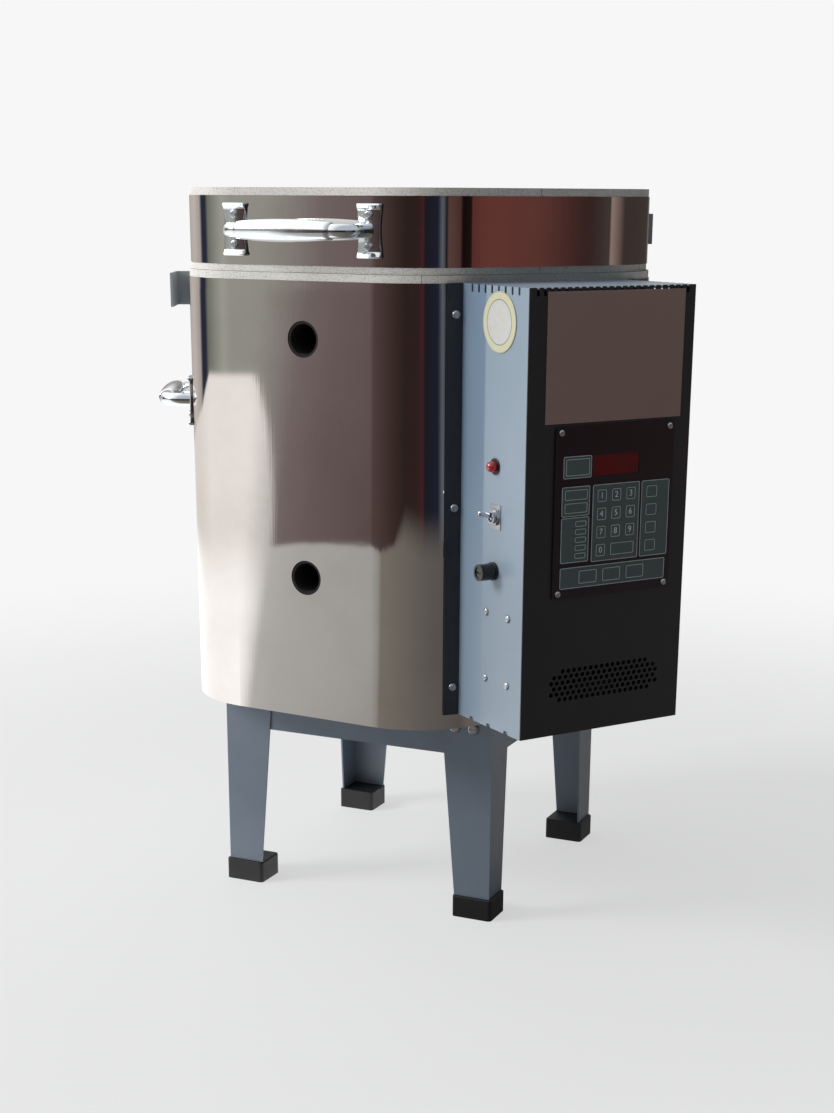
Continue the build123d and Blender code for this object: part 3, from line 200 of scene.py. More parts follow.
class Net:
    """A node tree and the one way that nodes are added to it."""

    def __init__(self, tree):
        self.tree = tree

    def node(self, kind, settings=None, inputs=None, output=0):
        node = self.tree.nodes.new(kind)
        for name, value in (settings or {}).items():
            if name == "stops":
                self.set_stops(node.color_ramp, value)
            else:
                setattr(node, name, value)
        for name, value in (inputs or {}).items():
            self.plug(node.inputs[name], value)
        return Wire(self, node.outputs[output])

    def set_stops(self, ramp, stops):
        while len(ramp.elements) > 1:
            ramp.elements.remove(ramp.elements[-1])
        for index, (place, colour) in enumerate(stops):
            stop = ramp.elements[0] if index == 0 else ramp.elements.new(place)
            stop.position = place
            stop.color = rgba(colour)

    def plug(self, socket, value):
        if isinstance(value, Wire):
            self.tree.links.new(value.socket, socket)
        elif isinstance(value, str):
            socket.default_value = rgba(value)
        else:
            socket.default_value = value

    def mix(self, factor, first, second):
        return self.node(
            "ShaderNodeMix", {"data_type": "RGBA"}, {0: factor, 6: first, 7: second}, 2
        )

    def rays(self, kind):
        """1 where light is followed for this kind of ray, such as Camera."""
        return self.node("ShaderNodeLightPath", output=f"Is {kind} Ray")

    def by_compass(self, x, y, stops):
        """Value of the stops in a horizontal direction."""
        share = x.math("ARCTAN2", y * -1) / (2 * pi) + 0.5
        return self.node("ShaderNodeValToRGB", {"stops": stops}, {0: share})


def rgba(colour):
    """Linear RGBA of a hex colour such as "8a9bab", or of a grey value."""
    if not isinstance(colour, str):
        return (colour, colour, colour, 1.0)
    parts = [int(colour[i : i + 2], 16) / 255 for i in (0, 2, 4)]
    linear = [c / 12.92 if c < 0.04045 else ((c + 0.055) / 1.055) ** 2.4 for c in parts]
    return (*linear, 1.0)


class Finish(Net):
    """A material on Object coordinates with one Principled shader."""

    def __init__(self, name):
        self.material = bpy.data.materials.new(name)
        self.material.use_nodes = True
        super().__init__(self.material.node_tree)
        self.tree.nodes.clear()
        self.output = self.tree.nodes.new("ShaderNodeOutputMaterial")
        self.shader = self.tree.nodes.new("ShaderNodeBsdfPrincipled")
        self.tree.links.new(self.shader.outputs[0], self.output.inputs[0])
        self.place = self.node("ShaderNodeTexCoord", output="Object")

    def axis(self, letter):
        return self.node("ShaderNodeSeparateXYZ", None, {0: self.place}, letter)

    def from_chamber(self):
        """X and Y measured from the chamber's axis."""
        return self.axis("X") - CHAMBER_X * MM, self.axis("Y") - CHAMBER_Y * MM

    def stretched(self, scale, turn=(0, 0, 0)):
        return self.node(
            "ShaderNodeMapping",
            None,
            {"Vector": self.place, "Scale": scale, "Rotation": turn},
        )

    def noise(self, scale, detail=3.0, roughness=0.5, vector=None):
        return self.node(
            "ShaderNodeTexNoise",
            None,
            {
                "Vector": vector or self.place,
                "Scale": scale,
                "Detail": detail,
                "Roughness": roughness,
            },
        )

    def spots(self, scale):
        return self.node("ShaderNodeTexVoronoi", None, {"Vector": self.place, "Scale": scale})

    def bump(self, height, distance, strength=1.0, under=None):
        inputs = {"Height": height, "Distance": distance, "Strength": strength}
        if under:
            inputs["Normal"] = under
        return self.node("ShaderNodeBump", None, inputs)

    def set(self, **sockets):
        for name, value in sockets.items():
            self.plug(self.shader.inputs[name.replace("_", " ")], value)
        return self.material


def bright_stainless():
    """Mirror-rolled sheet with a faint upright grain and slight waves."""
    f = Finish("bright_stainless")
    waves = f.noise(5.0, 1.0, vector=f.stretched((1, 1, 0.35)))
    grain = f.noise(1.0, 2.0, vector=f.stretched((900, 900, 14)))
    smudges = f.noise(9.0, 4.0, 0.6)
    normal = f.bump(waves, 0.0016, 0.25)
    return f.set(
        Base_Color=f.mix(smudges.between(0.35, 0.75), "cfcbc8", "c6c1bd"),
        Metallic=1.0,
        Roughness=0.02 + grain * 0.02 + smudges.between(0.5, 0.8) * 0.03,
        Normal=f.bump(grain, 0.00002, 0.12, normal),
    )


def chrome():
    f = Finish("chrome")
    haze = f.noise(60.0, 4.0, 0.6)
    return f.set(
        Base_Color=f.mix(haze, "d8dde0", "c3c8cb"),
        Metallic=1.0,
        Roughness=0.10 + haze.between(0.4, 0.8) * 0.14,
        Normal=f.bump(haze, 0.00015, 0.3),
    )


def zinc_screw():
    f = Finish("zinc_screw")
    haze = f.noise(420.0, 3.0)
    return f.set(
        Base_Color=f.mix(haze, "c4c7cb", "9da2a8"),
        Metallic=1.0,
        Roughness=0.2 + haze * 0.2,
        Normal=f.bump(haze, 0.00006, 0.4),
    )


def zinc_sheet():
    """Galvanised sheet with its spangle."""
    f = Finish("zinc_sheet")
    spangle = f.node(
        "ShaderNodeTexVoronoi", None, {"Vector": f.place, "Scale": 90.0}, "Color"
    )
    tone = f.node("ShaderNodeSeparateColor", None, {0: spangle})
    return f.set(
        Base_Color=f.mix(tone, "a9abad", "c2c5c8"),
        Metallic=0.9,
        Roughness=0.34 + tone * 0.2,
    )


def hinge_steel():
    f = Finish("hinge_steel")
    haze = f.noise(30.0, 5.0, 0.65)
    return f.set(
        Base_Color=f.mix(haze, "8f9294", "b0b2b3"),
        Metallic=1.0,
        Roughness=0.28 + haze * 0.25,
        Normal=f.bump(f.noise(300.0, 2.0), 0.00005, 0.3),
    )


def mortar_lines(f):
    """1 on the thin joints between the bricks of the lid and the floor slab."""
    y = f.axis("Y") - CHAMBER_Y * MM
    lines = 0.0
    for place in (-COURSE, 0.0, COURSE):
        lines = lines + (1 - (y - place * MM).math("ABSOLUTE").between(0.2 * MM, 0.7 * MM))
    return lines.clipped()


def spyhole_shade(f):
    """1 on the walls of the two spyholes, 0 elsewhere in the brick; the brick is darkened there as
    painted shade.
    """
    across = f.axis("X") - (CHAMBER_X + PEEPHOLE_X) * MM
    depth = f.axis("Y") - CHAMBER_Y * MM
    inside = 1.0 - (depth + BRICK_APOTHEM * MM).between(70 * MM, 90 * MM)
    hole_shade = 0.0
    for height in PEEPHOLE_HEIGHTS:
        up = f.axis("Z") - height * MM
        distance = (across * across + up * up).math("SQRT")
        edge = distance.between((PEEPHOLE_CUT + 0.2) * MM, (PEEPHOLE_CUT + 2.0) * MM)
        hole_shade = hole_shade + (1 - edge)
    return (hole_shade * inside).clipped()


def firebrick(name, jointed=False):
    """Soft insulating brick: pale buff, full of small open pores."""
    f = Finish(name)
    pores = f.spots(520.0).between(0.12, 0.42)
    crumbs = f.noise(160.0, 5.0, 0.65)
    cloud = f.noise(11.0, 3.0)
    tone = f.mix(cloud.between(0.3, 0.7), "dfdcd5", "ebe8e1")
    tone = f.mix((1 - pores) * 0.55, tone, "a49c8e")
    # Painted shade: the spyhole walls are darkened nearly black to stand in for the dark inside of
    # the holes.
    tone = f.mix(spyhole_shade(f), tone, "1d1a18")
    height = pores * 0.6 + crumbs * 0.5
    if jointed:
        joints = mortar_lines(f)
        tone = f.mix(joints * 0.6, tone, "8f887b")
        height = height - joints * 1.5
    return f.set(
        Base_Color=tone,
        Roughness=0.93,
        Normal=f.bump(height, 0.0009, 0.55),
    )


def fibre_board():
    f = Finish("fibre_board")
    felt = f.noise(220.0, 5.0, 0.7)
    return f.set(
        Base_Color=f.mix(felt, "cfc8b8", "e4dfd2"),
        Roughness=0.95,
        Normal=f.bump(felt, 0.0005, 0.5),
    )


def enamel(name, colour, deep, roughness):
    """Sprayed enamel: fine orange peel and a slight cloud of a deeper tone."""
    f = Finish(name)
    peel = f.noise(420.0, 2.0)
    cloud = f.noise(7.0, 4.0, 0.6)
    dust = f.noise(55.0, 6.0, 0.7).between(0.55, 0.8)
    return f.set(
        Base_Color=f.mix(cloud.between(0.35, 0.7) * 0.6, colour, deep),
        Roughness=roughness + dust * 0.12 + cloud * 0.05,
        Normal=f.bump(peel, 0.00012, 0.35),
    )


def box_paint():
    """Light blue-grey enamel, deeper low down; a deeper blue band near the body is a painted
    reflection of it, and the flanges get painted shade.
    """
    f = Finish("box_paint")
    x, y = f.from_chamber()
    out = x * cos(radians(30)) - y * 0.5 - JACKET_APOTHEM * MM
    along = x * 0.5 + y * cos(radians(30)) - BOX_SHIFT * MM
    past_side = along.math("ABSOLUTE").between(
        (BOX_SIDE + 0.05) * MM, (BOX_SIDE + 0.35) * MM
    )
    near_back = 1 - out.between(1.2 * MM, 3.2 * MM)
    painted_flange_shade = (past_side * near_back).clipped()
    cloud = f.noise(6.0, 3.0, 0.6)
    upper = f.axis("Z").between(0.30, 0.50)
    painted_body_reflection = 1 - out.between(38 * MM, 43 * MM)
    clean = f.mix(upper, "8c9ba8", "9aa9b7")
    deep = f.mix(upper, "8291a0", "8fa0ae")
    tone = f.mix(cloud.between(0.35, 0.7) * 0.5, clean, deep)
    # Painted reflection: a deeper blue band near the body, stronger higher up, stands in for the
    # body reflected in the glossy side.
    tone = f.mix(painted_body_reflection * (0.25 + upper * 0.6), tone, "71859b")
    # Painted shade: the flanges, which face away from the lamp, are painted near black.
    tone = f.mix(painted_flange_shade, tone, "23272f")
    peel = f.noise(420.0, 2.0)
    dust = f.noise(55.0, 6.0, 0.7).between(0.55, 0.8)
    return f.set(
        Base_Color=tone,
        Roughness=0.34 + dust * 0.14,
        Normal=f.bump(peel, 0.00012, 0.35),
    )


def rubber():
    f = Finish("boot_rubber")
    grit = f.noise(900.0, 3.0, 0.6)
    scuff = f.noise(70.0, 5.0, 0.7)
    return f.set(
        Base_Color=f.mix(scuff.between(0.5, 0.8), "050506", "111113"),
        Roughness=0.55 + scuff * 0.25,
        Normal=f.bump(grit, 0.00015, 0.5),
    )


def moulded_plastic(name, colour, roughness):
    f = Finish(name)
    grit = f.noise(700.0, 2.0)
    return f.set(
        Base_Color=f.mix(f.noise(40.0), colour, f.mix(0.25, colour, "000000")),
        Roughness=roughness + grit * 0.08,
        Normal=f.bump(grit, 0.00006, 0.4),
    )


def ceramic():
    f = Finish("ceramic")
    speck = f.spots(900.0).between(0.05, 0.2)
    return f.set(
        Base_Color=f.mix(1 - speck, "ece8df", "b9b2a4"),
        Roughness=0.3 + f.noise(80.0) * 0.15,
    )


def brass():
    f = Finish("brass")
    haze = f.noise(90.0, 4.0)
    return f.set(
        Base_Color=f.mix(haze, "c6a35a", "9c7a3c"), Metallic=1.0, Roughness=0.25 + haze * 0.2
    )


def element_wire():
    f = Finish("element_wire")
    scale = f.noise(300.0, 5.0, 0.7)
    return f.set(
        Base_Color=f.mix(scale, "3a3531", "6a625b"),
        Metallic=0.5,
        Roughness=0.55 + scale * 0.3,
        Normal=f.bump(scale, 0.0001, 0.5),
    )


def label_metal():
    """Brushed foil plate with nothing printed on it; its brown-grey is painted shade on a silver
    plate.
    """
    f = Finish("label_metal")
    turned = f.stretched((1, 1, 1), (0, 0, radians(-BOX_FLAT)))
    brushed = f.node(
        "ShaderNodeMapping", None, {"Vector": turned, "Scale": (18, 18, 2600)}
    )
    lines = f.noise(1.0, 2.0, vector=brushed)
    cloud = f.noise(8.0, 2.0)
    return f.set(
        # Painted shade: a darker brown-grey than the plate's own silver.
        Base_Color=f.mix(cloud, "a48c84", "927b74"),
        Metallic=0.5,
        Roughness=0.38 + lines * 0.2,
        Normal=f.bump(lines, 0.00002, 0.4),
    )


def badge_metal():
    """Pale ring round a bare silver disc."""
    f = Finish("badge_metal")
    x, y = f.from_chamber()
    out = x * cos(radians(30)) - y * 0.5 - (JACKET_APOTHEM + BADGE_REACH) * MM
    up = f.axis("Z") - (BODY_BASE + BADGE_HEIGHT) * MM
    distance = (out * out + up * up).math("SQRT")
    disc, rim = 19.8, 25.8
    ring = distance.between((disc - 0.2) * MM, (disc + 0.2) * MM)
    edge = distance.between((rim - 0.2) * MM, (rim + 0.2) * MM)
    groove = 1 - (distance - disc * MM).math("ABSOLUTE").between(0.2 * MM, 0.7 * MM)
    crinkle = f.noise(120.0, 4.0, 0.6)
    tone = f.mix(crinkle, "f2f2ee", "cfcfca")
    tone = f.mix(ring, tone, "d6d3b4")
    tone = f.mix(groove * 0.7, tone, "55584a")
    tone = f.mix(edge * 0.6, tone, "b9b796")
    return f.set(
        Base_Color=tone,
        Metallic=0.35 - ring * 0.3,
        Roughness=0.25 + crinkle * 0.2,
        Normal=f.bump(crinkle, 0.0004, 0.3),
    )


def keypad_skin():
    f = Finish("keypad_grey")
    grain = f.noise(600.0, 2.0)
    return f.set(
        Base_Color=f.mix(f.noise(14.0), "51605f", "465555"),
        Roughness=0.42 + grain * 0.1,
        Normal=f.bump(grain, 0.00005, 0.4),
    )


def display_glass():
    f = Finish("display_red")
    fade = f.noise(20.0, 2.0)
    return f.set(
        Base_Color=f.mix(fade, "6e090d", "4a060a"),
        Roughness=0.12 + fade * 0.08,
        Coat_Weight=0.6,
    )


def lamp_red():
    f = Finish("lamp_red")
    ribs = f.node(
        "ShaderNodeTexWave",
        {"bands_direction": "Z", "wave_type": "BANDS"},
        {"Vector": f.place, "Scale": 300.0},
    )
    return f.set(
        Base_Color=f.mix(ribs, "c41a1e", "9e0f14"),
        Roughness=0.10 + ribs * 0.08,
        Coat_Weight=0.8,
        Subsurface_Weight=0.1,
    )


def clear_glass():
    f = Finish("fuse_glass")
    return f.set(
        Base_Color=f.mix(f.noise(50.0), "e4eeee", "d6e2e2"),
        Roughness=0.05,
        Transmission_Weight=0.9,
    )


def circuit_board():
    f = Finish("circuit_board")
    tracks = f.node(
        "ShaderNodeTexBrick",
        None,
        {"Vector": f.stretched((60, 60, 60)), "Mortar Size": 0.02},
        "Fac",
    )
    return f.set(Base_Color=f.mix(tracks, "11532c", "2a7a45"), Roughness=0.35 + tracks * 0.1)


FINISHES = {
    "stand_paint": enamel("stand_paint", "727d8a", "66717f", 0.36),
    "boot_rubber": rubber(),
    "zinc_screw": zinc_screw(),
    "zinc_sheet": zinc_sheet(),
    "fibre_board": fibre_board(),
    "firebrick": firebrick("firebrick"),
    "bright_stainless": bright_stainless(),
    "element_wire": element_wire(),
    "ceramic": ceramic(),
    "brass": brass(),
    "chrome": chrome(),
    "bracket_paint": enamel("bracket_paint", "9aa0a4", "8a9096", 0.4),
    "hinge_steel": hinge_steel(),
    "box_paint": box_paint(),
    "black_panel": enamel("black_panel", "232326", "1b1b1e", 0.42),
    "label_metal": label_metal(),
    "badge_metal": badge_metal(),
    "controller_face": moulded_plastic("controller_face", "1d0f18", 0.25),
    "display_red": display_glass(),
    "keypad_grey": keypad_skin(),
    "circuit_board": circuit_board(),
    "black_plastic": moulded_plastic("black_plastic", "131315", 0.22),
    "lamp_red": lamp_red(),
    "fuse_glass": clear_glass(),
    "transformer_steel": moulded_plastic("transformer_steel", "3a3a3c", 0.5),
}
slab_brick = firebrick("slab_brick", jointed=True)
key_line = moulded_plastic("key_line", "d3dcdc", 0.4)
key_ink = moulded_plastic("key_ink", "e2e8e8", 0.45)


def finish_cad_nodes():
    for part in frame["record"]["subparts"]:
        material = FINISHES[part["material_slot"]]
        node = nodes[part["node"]]
        node.data.materials.clear()
        node.data.materials.append(material)
    for name in ("lid_slab", "floor_slab"):
        nodes[name].data.materials[0] = slab_brick


# Width of the small round on the edges of each node, in millimetres
SOFT_EDGES = {
    "box_shell": 0.5,
    "front_panel": 0.6,
    "controller_plate": 0.5,
    "label_plate": 0.3,
    "keypad": 0.15,
    "display_window": 0.25,
    "prop_bracket": 0.5,
    "stand_frame": 0.8,
    "badge": 0.6,
    "toggle_nut": 0.25,
    "toggle_lever": 0.2,
    "fuse_cap": 0.5,
    "fuse_holder": 0.3,
    "pilot_lamp_body": 0.4,
    "body_hinge_leaf": 0.5,
    "lid_hinge_leaf": 0.5,
    "lid_band_clamp": 0.4,
    "cord_gland": 0.4,
}
for corner in ("front_left", "front_right", "back_left", "back_right"):
    SOFT_EDGES[f"leg_{corner}"] = 0.8
    SOFT_EDGES[f"boot_{corner}"] = 1.5


def soften_edges():
    """Rounds the edges of pressed, cut and moulded nodes."""
    for name, width in SOFT_EDGES.items():
        node = nodes[name]
        weld = node.modifiers.new("weld", "WELD")
        weld.merge_threshold = 0.00001
        flatten = node.modifiers.new("flatten", "DECIMATE")
        flatten.decimate_type = "DISSOLVE"
        flatten.angle_limit = radians(0.5)
        round_off = node.modifiers.new("round_off", "BEVEL")
        round_off.width = width * MM
        round_off.segments = 3
        round_off.limit_method = "ANGLE"
        round_off.angle_limit = radians(40)
        round_off.use_clamp_overlap = True
        shade = node.modifiers.new("even_shading", "WEIGHTED_NORMAL")
        shade.weight = 100
        shade.keep_sharp = False


def new_piece(name, body, slot_name, mesh, *stands_for, material=None):
    """Links a finished mesh, gives it its finish and lets it ride."""
    piece = linked(name, mesh)
    mesh.materials.clear()
    mesh.materials.append(material or FINISHES[slot_name])
    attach(piece, body)
    if stands_for:
        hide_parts(*stands_for)
    return piece


def flat_axes(azimuth):
    """Unit vectors along an upright flat and out of it, by its compass angle in degrees."""
    angle = radians(azimuth)
    return Vector((cos(angle), sin(angle), 0)), Vector((sin(angle), -cos(angle), 0))


def flat_matrix(azimuth, distance, height, across=0.0):
    """Millimetre frame on an upright flat: X right, Y up, Z outward, seen from outside."""
    along, outward = flat_axes(azimuth)
    origin = outward * distance + along * across + Vector((CHAMBER_X, CHAMBER_Y, height))
    turn = Matrix((along, Vector((0, 0, 1)), outward)).transposed().to_4x4()
    return Matrix.Scale(MM, 4) @ Matrix.Translation(origin) @ turn


def applied(holder):
    """Plain mesh of an object with its modifiers applied. The object is deleted."""
    graph = bpy.context.evaluated_depsgraph_get()
    mesh = bpy.data.meshes.new_from_object(holder.evaluated_get(graph))
    bpy.data.objects.remove(holder)
    return mesh


def mesh_from(bm, name, place, sharp=35.0):
    bm.transform(place)
    bmesh.ops.recalc_face_normals(bm, faces=bm.faces)
    mesh = bpy.data.meshes.new(name)
    bm.to_mesh(mesh)
    bm.free()
    mesh.polygons.foreach_set("use_smooth", [True] * len(mesh.polygons))
    mesh.set_sharp_from_angle(angle=radians(sharp))
    return mesh


def loft(bm, rings):
    """Skins rings of equally many points, in order, and closes both ends."""
    made = [[bm.verts.new(point) for point in ring] for ring in rings]
    count = len(made[0])
    for lower, upper in zip(made, made[1:]):
        for i in range(count):
            j = (i + 1) % count
            bm.faces.new((lower[i], lower[j], upper[j], upper[i]))
    bm.faces.new(made[0][::-1])
    bm.faces.new(made[-1])


def round_ring(centre, first, second, radius, sides):
    """Points of a circle in the plane of two unit vectors."""
    angles = [2 * pi * k / sides for k in range(sides)]
    return [centre + (first * cos(a) + second * sin(a)) * radius for a in angles]


def hexagon_path(apothem, corner):
    """Points round the rounded hexagon, with a narrow strip at each end of its flats."""
    steps, strip = 24, 1.0
    half = (apothem - corner) * tan(radians(30))
    reach = (apothem - corner) / cos(radians(30))
    points = []
    for side in range(6):
        azimuth = radians(60 * side)
        along = Vector((cos(azimuth), sin(azimuth)))
        outward = Vector((sin(azimuth), -cos(azimuth)))
        for across in (-half + strip, half - strip):
            points.append(outward * apothem + along * across)
        turn = azimuth + radians(30)
        centre = Vector((sin(turn), -cos(turn))) * reach
        for step in range(steps + 1):
            angle = azimuth + radians(60) * step / steps
            points.append(centre + Vector((sin(angle), -cos(angle))) * corner)
    return points


def closed_edges(bm, loop):
    """Edges of a closed loop of vertices, made where they are missing."""
    pairs = zip(loop, loop[1:] + loop[:1])
    return [bm.edges.get(pair) or bm.edges.new(pair) for pair in pairs]


def wrapped_sheet(name, apothem, corner, low, high, cuts=None):
    """Thin sheet round the hexagon. Cuts are outlines on its flats, by number of flat."""
    bm = bmesh.new()
    path = hexagon_path(apothem, corner)
    per_side = len(path) // 6
    bottom = [bm.verts.new((*p, low)) for p in path]
    top = [bm.verts.new((*p, high)) for p in path]
    for i in range(len(path)):
        j = (i + 1) % len(path)
        if i % per_side:
            bm.faces.new((bottom[i], bottom[j], top[j], top[i]))
    for side in range(6):
        i = side * per_side
        rim = [bottom[i], bottom[i + 1], top[i + 1], top[i]]
        outlines = (cuts or {}).get(side)
        if not outlines:
            bm.faces.new(rim)
            continue
        along, outward = flat_axes(60 * side)
        edges = closed_edges(bm, rim)
        for outline in outlines:
            points = (outward * apothem + along * u + Vector((0, 0, z)) for u, z in outline)
            edges += closed_edges(bm, [bm.verts.new(point) for point in points])
        bmesh.ops.triangle_fill(bm, edges=edges, use_beauty=True, normal=outward)
    return mesh_from(bm, name, chamber_frame())


def thicken(mesh, thickness):
    """Gives a skin its thickness inwards and returns the plain solid sheet."""
    holder = linked(mesh.name, mesh)
    solid = holder.modifiers.new("sheet", "SOLIDIFY")
    solid.thickness = thickness
    solid.offset = -1.0
    name = mesh.name
    bm = bmesh.new()
    bm.from_mesh(applied(holder))
    return mesh_from(bm, name, Matrix.Identity(4))


def make_jacket():
    """Jacket with its two peepholes, and the opening behind the box for the leads."""
    sides, half_width, margin = 64, 30.0, 18.0
    turns = [2 * pi * k / sides for k in range(sides)]
    holes = [
        [(PEEPHOLE_X + PEEPHOLE_CUT * cos(a), height + PEEPHOLE_CUT * sin(a)) for a in turns]
        for height in PEEPHOLE_HEIGHTS
    ]
    low, high = FIRST_COURSE + margin, FIRST_COURSE + 3 * COURSE - margin
    window = [(-half_width, low), (half_width, low), (half_width, high), (-half_width, high)]
    mesh = wrapped_sheet(
        "jacket_skin",
        JACKET_APOTHEM,
        JACKET_CORNER,
        BODY_BASE,
        BODY_BASE + JACKET_HEIGHT,
        {0: holes, 1: [window]},
    )
    return thicken(mesh, JACKET_SHEET * MM)


def make_band():
    mesh = wrapped_sheet(
        "band_skin", BAND_APOTHEM, BAND_CORNER, BAND_BASE, BAND_BASE + BAND_HEIGHT
    )
    return thicken(mesh, JACKET_SHEET * MM)


def handle_line():
    """Centre line and radius of a handle: place across, height, radius."""
    neck = HANDLE_SPAN / 2 - NECK_INSET
    end = neck - NECK_BEND
    height = HANDLE_REACH - GRIP_RADIUS - GRIP_BULGE
    bend_start = height - NECK_BEND
    first = [(-neck, FOOT_THICKNESS / 2 + 3.0 * k, NECK_RADIUS) for k in range(4)]
    first.append((-neck, bend_start, NECK_RADIUS))
    for k in range(1, BEND_STEPS + 1):
        a = radians(90) * k / BEND_STEPS
        across = -neck + NECK_BEND * (1 - cos(a))
        first.append((across, bend_start + NECK_BEND * sin(a), NECK_RADIUS))
    shoulder = 1.0
    for past, radius in ((0.2, 6.6), (0.35, 7.5), (shoulder, GRIP_RADIUS)):
        first.append((-end + past, height, radius))
    grip = []
    for k in range(1, GRIP_STEPS):
        x = (end - shoulder) * (2 * k / GRIP_STEPS - 1)
        grip.append((x, height, GRIP_RADIUS + GRIP_BULGE * (1 - (x / end) ** 2)))
    return first + grip + [(-x, z, r) for x, z, r in reversed(first)]


def add_foot(bm, middle):
    """Foot with a narrow waist and a rolled lip at each end."""
    rings = []
    for k in range(FOOT_STEPS + 1):
        y = FOOT_HALF_LENGTH * (2 * k / FOOT_STEPS - 1)
        half_width = FOOT_HALF_WAIST + FOOT_FLARE * min(1.0, abs(y) / FLARE_END) ** 2
        lip = max(0.0, (abs(y) - LIP_START) / (FOOT_HALF_LENGTH - LIP_START))
        top = FOOT_THICKNESS + FOOT_LIP * sin(lip * pi / 2) ** 2
        if k in (0, FOOT_STEPS):
            top -= FOOT_END_DROP
            half_width -= FOOT_END_DROP / 2
        soft = 0.3 * FOOT_ROUND
        corner = ((0.0, top), (0.0, FOOT_ROUND), (soft, soft), (FOOT_ROUND, 0.0))
        left = [(middle - half_width + inset, y, top - drop) for inset, drop in corner]
        right = [(middle + half_width - inset, y, top - drop) for inset, drop in corner[::-1]]
        rings.append(left + right)
    loft(bm, rings)


def make_handle(place, name):
    """Fishtail feet with rolled lips, curved necks and a bulged grip."""
    bm = bmesh.new()
    line = handle_line()
    side = Vector((0, 1, 0))
    rings = []
    for k, (x, z, radius) in enumerate(line):
        before, after = line[max(k - 1, 0)], line[min(k + 1, len(line) - 1)]
        along = Vector((after[0] - before[0], 0, after[1] - before[1])).normalized()
        rings.append(round_ring(Vector((x, 0, z)), side, along.cross(side), radius, GRIP_SIDES))
    loft(bm, rings)
    for middle in (-HANDLE_SPAN / 2, HANDLE_SPAN / 2):
        add_foot(bm, middle)
    return mesh_from(bm, name, place, 50.0)


def run_tree(name, build, mesh, material, **sizes):
    """Runs a Geometry Nodes tree on a mesh once and returns the plain result."""
    tree = bpy.data.node_groups.new(name, "GeometryNodeTree")
    tree.interface.new_socket("Geometry", in_out="INPUT", socket_type="NodeSocketGeometry")
    tree.interface.new_socket("Geometry", in_out="OUTPUT", socket_type="NodeSocketGeometry")
    keys = {}
    for label in sizes:
        socket = tree.interface.new_socket(label, in_out="INPUT", socket_type="NodeSocketFloat")
        keys[label] = socket.identifier
    net = Net(tree)
    source = tree.nodes.new("NodeGroupInput")
    inputs = {label: Wire(net, source.outputs[label]) for label in sizes}
    made = build(net, Wire(net, source.outputs["Geometry"]), **inputs)
    whole = net.node("GeometryNodeRealizeInstances", None, {0: made})
    painted = net.node("GeometryNodeSetMaterial", None, {0: whole, "Material": material})
    sink = tree.nodes.new("NodeGroupOutput")
    net.plug(sink.inputs[0], painted)
    holder = linked(name, mesh)
    modifier = holder.modifiers.new(name, "NODES")
    modifier.node_group = tree
    for label, value in sizes.items():
        modifier[keys[label]] = value
    return applied(holder)


def coil_tree(net, path, spacing, radius, wire, step):
    """Winds a wire round a path of edges."""
    curve = net.node("GeometryNodeMeshToCurve", None, {0: path})
    fine = net.node(
        "GeometryNodeResampleCurve", {"mode": "LENGTH"}, {"Curve": curve, "Length": spacing}
    )
    index = net.node("GeometryNodeInputIndex")
    tangent = net.node("GeometryNodeInputTangent")
    upward = net.node("ShaderNodeCombineXYZ", None, {2: 1.0})
    sideways = net.node(
        "ShaderNodeVectorMath", {"operation": "CROSS_PRODUCT"}, {0: tangent, 1: upward}
    )
    angle = index * step
    rise = net.node(
        "ShaderNodeVectorMath",
        {"operation": "SCALE"},
        {0: upward, "Scale": angle.math("SINE") * radius},
    )
    swing = net.node(
        "ShaderNodeVectorMath",
        {"operation": "SCALE"},
        {0: sideways, "Scale": angle.math("COSINE") * radius},
    )
    shift = net.node("ShaderNodeVectorMath", {"operation": "ADD"}, {0: rise, 1: swing})
    wound = net.node("GeometryNodeSetPosition", None, {"Geometry": fine, "Offset": shift})
    ring = net.node(
        "GeometryNodeCurvePrimitiveCircle", None, {"Resolution": 6, "Radius": wire}
    )
    return net.node(
        "GeometryNodeCurveToMesh", None, {"Curve": wound, "Profile Curve": ring, "Fill Caps": True}
    )


def turn_path(name, heights, apothem):
    """Open turns round the chamber, in metres, each with its gap behind the box."""
    corner = apothem / cos(radians(30))
    along, outward = flat_axes(BOX_FLAT)
    points, edges = [], []
    for height in heights:
        level = Vector((0, 0, height))
        loop = [outward * apothem - along * COIL_END * MM + level]
        for a in (-60, -120, 180, 120, 60, 0):
            loop.append(Vector((corner * cos(radians(a)), corner * sin(radians(a)), height)))
        loop.append(outward * apothem + along * COIL_END * MM + level)
        start = len(points)
        points += loop
        edges += [(start + k, start + k + 1) for k in range(len(loop) - 1)]
    mesh = bpy.data.meshes.new(name)
    mesh.from_pydata(points, edges, [])
    return mesh


